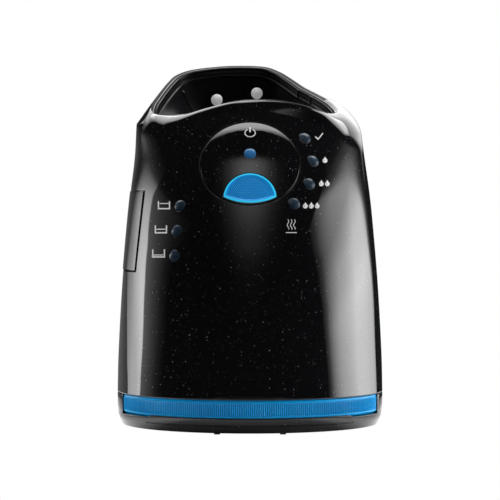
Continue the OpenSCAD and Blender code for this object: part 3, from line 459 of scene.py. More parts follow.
def left_share(u):
    v = wrap(u)
    s = np.where(v < 90, (v - 60) / 30, np.where(v <= 200, 1, 1 - (v - 200) / 40))
    return np.where((v < 60) | (v >= 240), 0, s)


def half_w(u, h):
    s = left_share(u)
    return t_hw(h) * (1 - s) + t_hwl(h) * s


def body(u, h, i=0.0):
    u, h = np.broadcast_arrays(np.asarray(u, float), np.asarray(h, float))
    a, yc = half_w(u, h) - i, t_yc(h)
    c, s, e = np.cos(np.radians(u)), np.sin(np.radians(u)), 2 / 2.9
    fx, fy = a * c, yc + (yc - t_yf(h) - i) * s
    bx, by = a * np.sign(c) * np.abs(c)**e, yc + (t_yb(h) - yc - i) * np.abs(s)**e
    return np.stack([np.where(s <= 0, fx, bx), np.where(s <= 0, fy, by), h], -1)


def skin(u, t, i=0.0):
    u, t, i = np.broadcast_arrays(np.asarray(u, float), np.asarray(t, float), np.asarray(i, float))
    zs = t_sz(wrap(u)) - 0.5 * i
    low = body(u, SEAM + (zs - SEAM) * np.minimum(t, TS) / TS, i)
    w = np.clip((t - TS) / (1 - TS), 0, 1)[..., None]
    k = np.clip(t_sk(wrap(u)), 0, 1)[..., None]
    S, n = body(u, zs, i), rim_in(u)
    R = rim(u) + n * (i * 0.7)[..., None]
    R[..., 2] -= i * 0.5
    d = R - S
    g = body(u, zs + 0.5, i) - body(u, zs - 0.5, i)
    L, dxy = np.linalg.norm(d, axis=-1, keepdims=True), d * np.array([1, 1, 0])
    m0 = d * (1 - k) + g / np.linalg.norm(g, axis=-1, keepdims=True) * L * k
    m1 = n * ((1 - k) * 3) + dxy * (1.3 * k) + np.array([0, 0, 0.1]) * d * k
    high = cubic(S, R, m0, m1, w)
    return np.where((t <= TS)[..., None], low, high)


def unit(v):
    v = np.asarray(v, float)
    return v / np.maximum(np.linalg.norm(v, axis=-1, keepdims=True), 1e-12)


def skin_n(u, t):
    """Outward unit normal of the skin."""
    u, t = np.broadcast_arrays(np.asarray(u, float), np.asarray(t, float))
    lo, hi = t - 0.0012, t + 0.0012
    hi = np.where((t <= TS) & (hi > TS), TS, hi)
    lo = np.where((t > TS) & (lo < TS), TS + 1e-6, lo)
    lo, hi = np.maximum(lo, 0), np.minimum(hi, 1)
    return unit(np.cross(skin(u + 0.1, t) - skin(u - 0.1, t), skin(u, hi) - skin(u, lo)))


def front(x, z, i=0.0):
    a, yc = t_hw(z) - i, t_yc(z)
    return yc - (yc - t_yf(z) - i) * np.sqrt(np.maximum(0, 1 - (x / a)**2))


def front_n(x, z):
    e = 0.5
    return unit(np.stack([(front(x + e, z) - front(x - e, z)) / (2 * e), -1 + 0 * np.asarray(x, float),
                          (front(x, z + e) - front(x, z - e)) / (2 * e)], -1))


def ut_of(x, z):
    """Angle and height parameter of a place on the front face."""
    u = 360 - np.degrees(np.arccos(np.clip(x / t_hw(z), -1, 1)))
    return u, TS * (z - SEAM) / (t_sz(wrap(u)) - SEAM)


def seam_u(t):
    t = np.asarray(t, float)
    return np.where(t < 0.62, 180.0, np.minimum(199.0, 180 + (t - 0.62) / 0.14 * 19))


def at_pixel(X, Y, lift=0.0):
    """The point of the front face that a pixel of the 500 by 500 picture shows."""
    X, Y = np.asarray(X, float), np.asarray(Y, float)
    y = np.full(np.broadcast(X, Y).shape, -40.0)
    for _ in range(40):
        x, z = (X - 250) * (1000 + y) / 2043, 108.6 - (Y - 200) * (1000 + y) / 2043
        y = 0.5 * y + 0.5 * front(x, z)
    p = np.stack([x, y, z], -1)
    return p + lift * front_n(x, z)


# ------------------------------------------------------------------ mesh helpers
def build(name, V, F, mat, body_name, replaces=(), normals=None, angle=None):
    """A mesh object from points in millimetres. normals are one per point; angle marks sharp edges instead."""
    mesh = bpy.data.meshes.new(name)
    mesh.from_pydata([tuple(p) for p in np.asarray(V, float) * 0.001], [], [tuple(int(i) for i in q) for q in F])
    mesh.update()
    for q in mesh.polygons:
        q.use_smooth = True
    for m in (mat if isinstance(mat, (list, tuple)) else [mat]):
        mesh.materials.append(m)
    if normals is not None:
        mesh.normals_split_custom_set_from_vertices([tuple(v) for v in unit(normals)])
    elif angle is not None:
        mesh.set_sharp_from_angle(angle=math.radians(angle))
    o = link(bpy.data.objects.new(name, mesh))
    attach(o, body_name)
    if replaces:
        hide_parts(*replaces)
    return o


def quads(nr, nc, closed=False, start=0, flip=False):
    F = []
    for r in range(nr - 1):
        for c in range(nc if closed else nc - 1):
            d = (c + 1) % nc
            q = (start + r * nc + c, start + r * nc + d, start + (r + 1) * nc + d, start + (r + 1) * nc + c)
            F.append(q[::-1] if flip else q)
    return F


def close_shell(F, N):
    """Faces that join the open edges of a sheet to the same edges of its copy N points on."""
    seen = {}
    for q in F:
        for a, b in zip(q, q[1:] + q[:1]):
            if (b, a) in seen:
                del seen[(b, a)]
            else:
                seen[(a, b)] = True
    return [(b, a, a + N, b + N) for a, b in seen]


def thick(name, P, Nn, Pin, F, mat, body_name, replaces=()):
    """A closed shell from an outer sheet P with normals, an inner sheet Pin, and the faces of the outer one."""
    N = len(P)
    F = [tuple(int(i) for i in q) for q in F]
    faces = F + [tuple(i + N for i in q[::-1]) for q in F] + close_shell(F, N)
    V = np.concatenate([P, Pin])
    nin = -np.asarray(Nn)
    return build(name, V, faces, mat, body_name, replaces, normals=np.concatenate([Nn, nin]))


def lathe(profile, n=64, closed_axis=True):
    """Points and faces of a profile [(r, z)] turned round Z. Radius 0 makes a pole."""
    V, rows = [], []
    for r, z in profile:
        if r == 0:
            rows.append([len(V)])
            V.append((0, 0, z))
        else:
            rows.append(list(range(len(V), len(V) + n)))
            V += [(r * math.cos(2 * math.pi * k / n), r * math.sin(2 * math.pi * k / n), z) for k in range(n)]
    F = []
    for a, b in zip(rows, rows[1:]):
        for k in range(n):
            j = (k + 1) % n
            if len(a) == 1 and len(b) == 1:
                continue
            if len(a) == 1:
                F.append((a[0], b[j], b[k]))
            elif len(b) == 1:
                F.append((a[k], a[j], b[0]))
            else:
                F.append((a[k], a[j], b[j], b[k]))
    return np.array(V, float), F


def turned(V, axis, place, up=(0, 0, 1)):
    """Points turned so that +Z becomes axis, then moved."""
    z = unit(axis)
    x = np.cross(up, z)
    x = unit(x) if np.linalg.norm(x) > 1e-6 else np.array([1.0, 0, 0])
    y = np.cross(z, x)
    return np.asarray(V) @ np.array([x, y, z]) + np.asarray(place, float)


class Hole:
    """A round hole through a surface: rings of points on the surface round an axis."""

    def __init__(self, surf, centre, axis, r, guess, n=48, edge=0.3, keep=None, up=(0, 0, 1)):
        self.surf, self.c, self.z, self.r, self.n, self.edge = surf, np.asarray(centre, float), unit(axis), r, n, edge
        self.x = unit(np.cross(up, self.z))
        self.y = np.cross(self.z, self.x)
        self.guess = guess

    def flat(self, P):
        d = np.asarray(P) - self.c
        return np.stack([d @ self.x, d @ self.y], -1)

    def solve(self, a, b):
        """Surface parameters of the places at offset (a, b) in the hole's own plane."""
        u = np.full(a.shape, float(self.guess[0]))
        t = np.full(a.shape, float(self.guess[1]))
        eu, et = 0.02, 0.0003
        for _ in range(9):
            f0 = self.flat(self.surf(u, t)) - np.stack([a, b], -1)
            fu = (self.flat(self.surf(u + eu, t)) - self.flat(self.surf(u - eu, t))) / (2 * eu)
            ft = (self.flat(self.surf(u, t + et)) - self.flat(self.surf(u, t - et))) / (2 * et)
            det = fu[:, 0] * ft[:, 1] - fu[:, 1] * ft[:, 0]
            du = (f0[:, 0] * ft[:, 1] - f0[:, 1] * ft[:, 0]) / det
            dt = (fu[:, 0] * f0[:, 1] - fu[:, 1] * f0[:, 0]) / det
            u, t = u - np.clip(du, -6, 6), t - np.clip(dt, -0.05, 0.05)
        return u, t

    def rings(self, rhos):
        """One (u, t, direction to the centre) for each radius."""
        th = 2 * math.pi * np.arange(self.n) / self.n
        rho = np.repeat(np.asarray(rhos, float), self.n)
        u, t = self.solve(rho * np.tile(np.cos(th), len(rhos)), rho * np.tile(np.sin(th), len(rhos)))
        inward = -(np.cos(th)[:, None] * self.x + np.sin(th)[:, None] * self.y)
        return [(u[k * self.n:(k + 1) * self.n], t[k * self.n:(k + 1) * self.n], inward) for k in range(len(rhos))]


def cut_sheet(grid_u, grid_t, surf, normal, inner, holes, to_xy, from_xy, drop=None, extra=None):
    """Triangulates a parameter grid round the holes. Returns outer points, normals, inner points and faces.
    grid_u and grid_t are arrays of rows by columns. to_xy turns parameters into a flat, even chart."""
    nr, nc = grid_u.shape
    P = surf(grid_u, grid_t)
    Nn = normal(grid_u, grid_t)
    Pi = inner(grid_u, grid_t)
    use = np.ones((nr, nc), bool)
    for h in holes:
        d = np.linalg.norm(h.flat(P), axis=-1)
        near = np.abs((P - h.c) @ h.z) < 14
        use &= ~((d < h.r + h.edge + h.gap) & near)
    if drop is not None:
        use &= ~drop(P, 0.7)
    xy = to_xy(grid_u, grid_t)
    pts, pos, nor, ins, edges = [], [], [], [], []
    rr, cc = np.nonzero(use)
    for r, c in zip(rr, cc):
        pts.append(tuple(xy[r, c]))
    pos.append(P[rr, cc])
    nor.append(Nn[rr, cc])
    ins.append(Pi[rr, cc])
    count = len(pts)
    for h in holes:
        f = h.edge
        steps = ((h.r + f, 0.0, 0.0), (h.r + 0.62 * f, 0.076 * f, 0.3827), (h.r + 0.293 * f, 0.293 * f, 0.7071),
                 (h.r + 0.076 * f, 0.62 * f, 0.9239), (h.r, f, 1.0))
        for (rho, sink, turn), (u, t, inward) in zip(steps, h.rings([x[0] for x in steps])):
            q = surf(u, t)
            n0 = normal(u, t)
            flat = unit(inward - (np.sum(inward * n0, -1, keepdims=True)) * n0 * (1 - turn))
            pos.append(q - sink * h.z)
            nor.append(unit(n0 * math.sqrt(max(0, 1 - turn**2)) + flat * turn))
            ins.append(q - h.depth * h.z)
            q2 = to_xy(u, t)
            pts += [tuple(v) for v in q2]
            edges += [(count + k, count + (k + 1) % h.n) for k in range(h.n)]
            count += h.n
    if extra is not None:
        for u, t, closed in extra:
            pos.append(surf(u, t))
            nor.append(normal(u, t))
            ins.append(inner(u, t))
            pts += [tuple(v) for v in to_xy(u, t)]
            m = len(u)
            edges += [(count + k, count + k + 1) for k in range(m - 1)] + ([(count + m - 1, count)] if closed else [])
            count += m
    out = delaunay_2d_cdt([Vector(v) for v in pts], edges, [], 0, 1e-7)
    vs, fs, ids = out[0], out[2], out[3]
    back, fresh = [], []
    for k, i in enumerate(ids):
        if not len(i):
            fresh.append(k)
        back.append(i[0] if len(i) else count + len(fresh) - 1)
    if fresh:
        u, t = from_xy(np.array([tuple(vs[k]) for k in fresh]))
        pos.append(surf(u, t))
        nor.append(normal(u, t))
        ins.append(inner(u, t))
        print("points added where lines of the chart cross:", len(fresh))
    pos, nor, ins = np.concatenate(pos), np.concatenate(nor), np.concatenate(ins)
    F = np.array([[back[i] for i in q] for q in fs if len(q) == 3])
    F = F[(F[:, 0] != F[:, 1]) & (F[:, 1] != F[:, 2]) & (F[:, 0] != F[:, 2])]
    mid = pos[F].mean(1)
    keep = np.ones(len(F), bool)
    for h in holes:
        keep &= ~((np.linalg.norm(h.flat(mid), axis=-1) < h.r * math.cos(math.pi / h.n) - 0.001) & (np.abs((mid - h.c) @ h.z) < 14))
    if drop is not None:
        keep &= ~drop(mid, 0.0)
    F = [tuple(int(i) for i in q) for q in F[keep]]
    used = sorted({i for q in F for i in q})
    new = {o: k for k, o in enumerate(used)}
    F = [tuple(new[i] for i in q) for q in F]
    return pos[used], nor[used], ins[used], F


# ------------------------------------------------------------------ front shell
KR, GAP, LEAN = 23.5, 0.4, math.radians(32)
KC = np.array([0, float(front(0.0, 126.9)), 126.9])
KV = np.array([0, math.sin(LEAN), math.cos(LEAN)])
KN = np.array([0, -math.cos(LEAN), math.sin(LEAN)])
KX = np.array([1.0, 0, 0])
LENSES = [[26.4, 138.4], [30.2, 127.3], [28.2, 116.4], [20.9, 107], [-33.2, 106], [-34.6, 94.2], [-35.6, 82.6]]
LR, LGAP = 2.8, 0.1

LOW = np.concatenate([[0.0, 0.0011, 0.003], np.linspace(0.008, TS - 0.006, 66)])
HIGH = np.concatenate([[TS + 0.002, TS + 0.006], np.linspace(TS + 0.016, 0.985, 24)])
ROWS = np.concatenate([LOW, HIGH])
LIP = 5  # rows of the rounded rim


def even(u0, u1, n, h=80.0):
    """Angles between u0 and u1 that divide the outline at height h evenly."""
    u = np.linspace(u0, u1, 6000)
    p = body(u, h)
    s = np.concatenate([[0], np.cumsum(np.linalg.norm(np.diff(p, axis=0), axis=1))])
    return np.interp(np.linspace(0, s[-1], n), s, u), s[-1]


def shell_surf(u, t):
    """Skin, with the rolled rim for t over 1."""
    u, t = np.broadcast_arrays(np.asarray(u, float), np.asarray(t, float))
    base = skin(u, np.clip(t, 0, 1))
    roll = np.clip((t - 1) / 0.1, 0, 1)[..., None]
    R, n = rim(u), rim_in(u)
    A = skin(u, 0.985 + 0 * u)
    B = R + 0.62 * (n * 1.68 - np.array([0, 0, 1.2]))
    q = (1 - roll)**2 * A + 2 * roll * (1 - roll) * R + roll**2 * B
    return np.where((t > 1)[..., None], q, base)


def shell_normal(u, t):
    u, t = np.broadcast_arrays(np.asarray(u, float), np.asarray(t, float))
    n0 = skin_n(u, np.clip(t, 0, 0.985))
    e = 0.004
    lo, hi = np.maximum(t - e, 1.0001), np.minimum(t + e, 1.1)
    lo, hi = np.minimum(lo, 1.094), np.maximum(hi, 1.006)
    n1 = unit(np.cross(shell_surf(u + 0.1, t) - shell_surf(u - 0.1, t), shell_surf(u, hi) - shell_surf(u, lo)))
    return np.where((t > 1)[..., None], n1, n0)


def ease(v):
    v = np.clip(v, 0, 1)
    return v * v * (3 - 2 * v)


def tilt_up(n, deg):
    """Unit normals turned towards +Z."""
    a = np.radians(deg)[..., None]
    up = unit(np.array([0, 0, 1.0]) - n * n[..., 2:3])
    return unit(n * np.cos(a) + up * np.sin(a))


def eased_normal(u, t, rear=False):
    """Normals of the skin with its softer upper roll: the face turns up more towards the shoulders and the rim."""
    u, t = np.broadcast_arrays(np.asarray(u, float), np.asarray(t, float))
    n = shell_normal(u, t)
    P = shell_surf(u, t)
    x, z = P[..., 0], P[..., 2]
    if rear:
        b = 20 * ease((-x - 40) / 8) * ease((z - 130) / 5) * (P[..., 1] < 30)
    else:
        d = np.linalg.norm(P - rim(u), axis=-1)
        b = 30 * np.exp(-(d / 6.5)**2) * ease((246 - wrap(u)) / 24) * ease((wrap(u) - 150) / 10)
        b = b + (4 + 2.5 * ease((x - 4) / 10)) * (1 - np.exp(-(d / 2.2)**2)) * ease((x + 10) / 8) * ease((37 - x) / 6) * ease((z - 150) / 3)
    crease = np.interp(x, [26, 29.5, 33, 36, 40, 46.3, 54.6, 58], [153, 150.3, 148, 146.5, 142.5, 135.5, 131, 130])
    b = b + 24 * ease((22 - P[..., 1]) / 12) * ease((z - crease) / 7) * ease((x - 27) / 4)
    b = b * ease((1.0 - t) / 0.01) - 3 * ease((20.5 - z) / 4) * ease((34 - np.abs(x)) / 12) * (P[..., 1] < 0)
    a = 4.5 * ease((x - 32) / 12) * ease((78 - z) / 50)
    a = np.radians((a + np.interp(z, [20, 40, 78, 95, 111, 120, 128, 136, 146], [-8, -6, -0.5, 1.5, 2.5, 0.5, -2, -2, 0]) * ease((-x - 30) / 10)) * (P[..., 1] < 5))
    c, k = np.cos(a), np.sin(a)
    n = np.stack([c * n[..., 0] - k * n[..., 1], k * n[..., 0] + c * n[..., 1], n[..., 2]], -1)
    return tilt_up(n, b)


def inner_skin(u, t):
    u, t = np.broadcast_arrays(np.asarray(u, float), np.asarray(t, float))
    tt = np.where(t > 1, 0.985 + (t - 1) / 0.1 * 0.015, t)
    return skin(u, tt, WALL)


def full_rows():
    return np.concatenate([ROWS, 1 + 0.1 * np.linspace(0.12, 1, LIP)])


NC = 150
us, arc = even(180.12, 359.88, NC)
S_COLS = (us - 180.12) / (359.88 - 180.12)


def front_u(s, t):
    a = seam_u(np.clip(t, 0, 1)) + 0.12
    return a + (359.88 - a) * s


T_ALL = full_rows()
gs, gt = np.meshgrid(S_COLS, T_ALL)
gu = front_u(gs, gt)


def to_xy(u, t):
    a = seam_u(np.clip(t, 0, 1)) + 0.12
    s = (u - a) / (359.88 - a)
    return np.stack([np.interp(s, S_COLS, np.linspace(0, arc, NC)), t * 178], -1)


def from_xy(q):
    t = q[:, 1] / 178
    return front_u(np.interp(q[:, 0], np.linspace(0, arc, NC), S_COLS), t), t


holes = []
ku, kt = ut_of(np.array(0.0), np.array(126.9))
h = Hole(skin, KC, KN, KR + GAP, (float(ku), float(kt)), n=160, edge=0.3, up=KV)
h.gap, h.depth = 1.0, WALL
holes.append(h)
for x, z in LENSES:
    n = front_n(np.array(float(x)), np.array(float(z)))
    c = np.array([x, float(front(x, z)), z])
    lu, lt = ut_of(np.array(float(x)), np.array(float(z)))
    h = Hole(skin, c, n, LR + LGAP, (float(lu), float(lt)), n=44, edge=0.28)
    h.gap, h.depth = 0.6, WALL
    holes.append(h)


def notch(P, grow):
    """True inside the release button's notch."""
    yc = t_yc(P[..., 2])
    return (P[..., 0] < -30) & (P[..., 2] > 74.0 - grow) & (P[..., 2] < 113.8 + grow) & (P[..., 1] > yc - t_edge(P[..., 2]) - 0.4 - grow)


def notch_line():
    """Edge of the notch as parameters, from the seam round to the seam."""
    zs, ds = [], []
    r = 1.2
    low, high = float(t_edge(74.0)) + 0.4, float(t_edge(113.8)) + 0.4
    for k in range(31):
        zs.append(74.0)
        ds.append((low - r) * k / 30)
    for k in range(1, 7):
        a = math.pi / 2 * k / 6
        zs.append(74.0 + r - r * math.cos(a))
        ds.append(low - r + r * math.sin(a))
    for k in range(1, 31):
        zs.append(74.0 + r + (39.8 - 2 * r) * k / 31)
        ds.append(float(t_edge(zs[-1])) + 0.4)
    for k in range(7):
        a = math.pi / 2 * k / 6
        zs.append(113.8 - r + r * math.sin(a))
        ds.append(high - r + r * math.cos(a))
    for k in range(1, 31):
        zs.append(113.8)
        ds.append((high - r) * (1 - k / 30))
    zs, ds = np.array(zs), np.array(ds)
    u = 180 + np.degrees(np.arcsin(np.clip(ds / (t_yc(zs) - t_yf(zs)), 0, 1)))
    u = np.maximum(u, 180.12)
    t = TS * (zs - SEAM) / (t_sz(u) - SEAM)
    return u, t, False


P, Nn, Pin, F = cut_sheet(gu, gt, shell_surf, eased_normal, inner_skin, holes, to_xy, from_xy, drop=notch, extra=[notch_line()])


def roll_bottom(P, Nn, Pin):
    """Rounds the lower edge: points within 0.4 mm of the seam move in and their normals turn down."""
    P, Nn = P.copy(), Nn.copy()
    d = np.clip((SEAM + 0.4 - P[:, 2]) / 0.4, 0, 1)
    k = d > 0.001
    flat = unit(Nn * np.array([1, 1, 0]))
    P[k] = P[k] - flat[k] * (0.4 * (1 - np.sqrt(1 - d[k]**2)))[:, None] * 0.9
    Nn[k] = unit(flat[k] * np.sqrt(np.maximum(0, 1 - d[k]**2))[:, None] + np.array([0, 0, -1]) * d[k][:, None])
    return P, Nn


P, Nn = roll_bottom(P, Nn, Pin)
casing = thick("front_casing", P, Nn, Pin, F, [M["shell"], M["crown_rim"]], "housing", ("front_shell",))
# faces along the front crown's rim take crown_rim, the painted shade
crown = rim(np.arange(228, 322, 0.5)) - np.array([0, 0, 0.2])
for q in casing.data.polygons:
    c = np.array(q.center) * 1000
    if c[2] > 148 and abs(c[0] - 2) < 36 and c[1] < 0 and np.linalg.norm(crown - c, axis=1).min() < 1.5:
        q.material_index = 1

# ------------------------------------------------------------------ rear shell
NR = 190
us_r, arc_r = even(0.12, 179.88, NR)
S_R = (us_r - 0.12) / (179.88 - 0.12)
gs, gt = np.meshgrid(S_R, T_ALL)
gu = 0.12 + (seam_u(np.clip(gt, 0, 1)) - 0.24) * gs
P = shell_surf(gu, gt).reshape(-1, 3)
Nn = eased_normal(gu, gt, True).reshape(-1, 3)
Pin = inner_skin(gu, gt).reshape(-1, 3)
F = quads(len(T_ALL), NR)
P, Nn = roll_bottom(P, Nn, Pin)
P[:, 1] = np.minimum(P[:, 1], 60.009)
rear = thick("rear_casing", P, Nn, Pin, F, [M["rear"], M["rear_rim"]], "housing", ("rear_shell",))
# rim faces of the rear casing take rear_rim, the painted shade
for k, q in enumerate(rear.data.polygons):
    q.material_index = 1 if k < len(F) and k // (NR - 1) >= len(ROWS) - 1 else 0

# ------------------------------------------------------------------ well collar
BC, BOWL_R, BOWL_Z = np.array([-1.0, 15.0]), 23.0, 140.0
CN = np.array([0, -math.cos(math.radians(12)), math.sin(math.radians(12))])
CONTACTS = [np.array([-16.9, 41.2, 159.6]), np.array([3.5, 41.9, 163.0])]


def funnel(u, w, r):
    u, w = np.broadcast_arrays(np.asarray(u, float), np.asarray(w, float))
    p = rim(u)
    q = p + rim_in(u) * (3.6 + (BOWL_R + 1.5 - r)) - np.array([0, 0, 6.0])
    a = np.arctan2(p[..., 1] - BC[1], p[..., 0] - BC[0])
    m = np.stack([BC[0] + r * np.cos(a), BC[1] + r * np.sin(a), 0 * a + BOWL_Z + 1.8], -1)
    b = w * w * 0.35 + w * 0.65
    return np.stack([q[..., 0] + (m[..., 0] - q[..., 0]) * b, q[..., 1] + (m[..., 1] - q[..., 1]) * b,
                     q[..., 2] + (m[..., 2] - q[..., 2]) * w], -1)


# Lip band below the rim: [parameter, inward, down]
BAND = [[0, 2.05, 1.35], [0.3, 2.5, 1.28], [0.6, 2.8, 1.33], [0.8, 2.9, 1.42], [1, 2.94, 1.58], [1.6, 3.0, 2.2], [2.2, 3.02, 3.1], [2.35, 3.25, 3.25], [3, 3.3, 4.2],
        [3.6, 3.32, 5.0], [3.75, 3.9, 5.15], [4, 4.05, 5.4], [4.15, 3.75, 5.7], [4.4, 3.62, 6.1]]
bx, bi, bd = (np.array([r[k] for r in BAND], float) for k in range(3))
RIBS = [(38.0, 0.5), (19.0, 0.5)]


def well_surf(u, v):
    """Visible side of the collar. v runs from 0 at the rim, 4.4 at the funnel's top, to 5.4 at its foot."""
    u, v = np.broadcast_arrays(np.asarray(u, float), np.asarray(v, float))
    vb = np.minimum(v, 4.4)
    n = rim_in(u)
    band = rim(u) + n * np.interp(vb, bx, bi)[..., None] - np.array([0, 0, 1.0]) * np.interp(vb, bx, bd)[..., None]
    wv = wrap(u)
    for c, hgt in RIBS:
        k = np.exp(-((wv - c) / 1.1)**4) * hgt * np.clip((v - 0.8) / 0.4, 0, 1) * np.clip((3.9 - v) / 0.3, 0, 1)
        band = band + n * k[..., None]
    w = 0.012 + 0.988 * np.clip(v - 4.4, 0, 1)
    low = funnel(u, w, BOWL_R + 1.5)
    ridge = 1.1 * np.exp(-((wv - 134.5) / 1.8)**4) * np.clip((v - 4.45) / 0.05, 0, 1) * np.clip((5.38 - v) / 0.1, 0, 1)
    low = low + n * ridge[..., None]
    return np.where((v <= 4.4)[..., None], band, low)


def well_normal(u, v):
    u, v = np.broadcast_arrays(np.asarray(u, float), np.asarray(v, float))
    return -unit(np.cross(well_surf(u + 0.15, v) - well_surf(u - 0.15, v), well_surf(u, np.minimum(v + 0.01, 5.4)) - well_surf(u, np.maximum(v - 0.01, 0))))


def well_back(u, v):
    u, v = np.broadcast_arrays(np.asarray(u, float), np.asarray(v, float))
    n = rim_in(u)
    w = 0.05 + 0.95 * np.clip(v - 4.4, 0, 1)
    k = np.clip(v / 4.4, 0, 1)[..., None]
    top = rim(u) + n * 2.0 - np.array([0, 0, 1.0]) * (1.4 + 3.2 * np.clip(v / 4.4, 0, 1))[..., None]
    low = funnel(u, w, BOWL_R + 3.2)
    return np.where((v <= 4.0)[..., None], top, low)


NW = 360
vrows = np.concatenate([bx, 4.4 + np.linspace(0.04, 1, 26)])
wcols = np.unique(np.round(np.concatenate([np.linspace(-60, 300, NW + 1), np.arange(14, 43.5, 0.25), np.arange(130, 139, 0.25)]), 4))
gu, gv = np.meshgrid(wcols, vrows)
wholes = []
for c, gs0 in zip(CONTACTS, ((115.0, 4.7), (90.0, 4.65))):
    h = Hole(well_surf, c, CN, 6.0, gs0, n=64, edge=0.5)
    h.gap, h.depth = 0.8, 3.2
    wholes.append(h)


def well_xy(u, v):
    return np.stack([u * 0.8, -v * 14.0], -1)


P, Nn, Pin, F = cut_sheet(gu, gv, well_surf, well_normal, well_back, wholes, well_xy, lambda q: (q[:, 0] / 0.8, -q[:, 1] / 14.0))
# the sheet's two ends meet at one angle: join them
N = len(P)
key = {}
remap = list(range(N))
for i, p in enumerate(P):
    k = tuple(np.round(p, 3))
    if k in key:
        remap[i] = key[k]
    else:
        key[k] = i
F = [tuple(remap[i] for i in q) for q in F]
F = [q[::-1] for q in F if len(set(q)) == 3]
used = sorted({i for q in F for i in q})
new = {o: k for k, o in enumerate(used)}
F = [tuple(new[i] for i in q) for q in F]
# the visible side faces into the well
cen = P[used][list(F[0])]
fn = np.cross(cen[1] - cen[0], cen[2] - cen[0])
if fn @ Nn[used][F[0][0]] < 0:
    F = [q[::-1] for q in F]
thick("well_lining", P[used], Nn[used], Pin[used], F, M["well"], "housing", ("well_collar",))

# ------------------------------------------------------------------ start key


def key_w(p, q):
    w = 0 * (p + q)
    for _ in range(12):
        w = (KC[1] + q * KV[1] - front(p, KC[2] + q * KV[2] + w * KN[2])) / -KN[1]
    return w


def key_surf(a, rr, lift=0.0, fold=0.3):
    """Key's skin in polar form: angle in degrees and radius. fold scales the bevel above the arc."""
    a, rr = np.broadcast_arrays(np.asarray(a, float), np.asarray(rr, float))
    p, q = rr * np.cos(np.radians(a)), rr * np.sin(np.radians(a))
    w = key_w(p, q) + 0.5 * (1 - (rr / KR)**2) + lift
    # the face folds back above a shallow arc near its upper edge
    D = np.hypot(p, q + 12.1) - 30.4
    D = np.where(q > 0, np.maximum(D + 0.4, 0), 0)
    w = w - fold * (0.11 * np.where(D < 0.3, D * D / 0.6, D - 0.15) + 0.006 * D * D)
    return KC + p[..., None] * KX + q[..., None] * KV + w[..., None] * KN


def key_plane(x, y, lift=0.0, fold=0.3):
    return key_surf(np.degrees(np.arctan2(y, x)), np.hypot(x, y), lift, fold)


def key_norm(x, y):
    e = 0.15
    return unit(np.cross(key_plane(x + e, y) - key_plane(x - e, y), key_plane(x, y + e) - key_plane(x, y - e)))


PAD_Q, PAD_R, LENS_Q = -19.3, 12.4, 4.2


def disc_points(R, step):
    out = [(0.0, 0.0)]
    r = step
    while r < R:
        n = max(6, int(round(2 * math.pi * r / step)))
        out += [(r * math.cos(2 * math.pi * (k + 0.5 * (int(r / step) % 2)) / n), r * math.sin(2 * math.pi * (k + 0.5 * (int(r / step) % 2)) / n)) for k in range(n)]
        r += step
    return np.array(out)


def offset_line(L, d):
    """A closed line moved to its left by d."""
    L = np.asarray(L, float)
    t = unit(np.roll(L, -1, 0) - np.roll(L, 1, 0))
    return L + d * np.stack([-t[:, 1], t[:, 0]], -1)


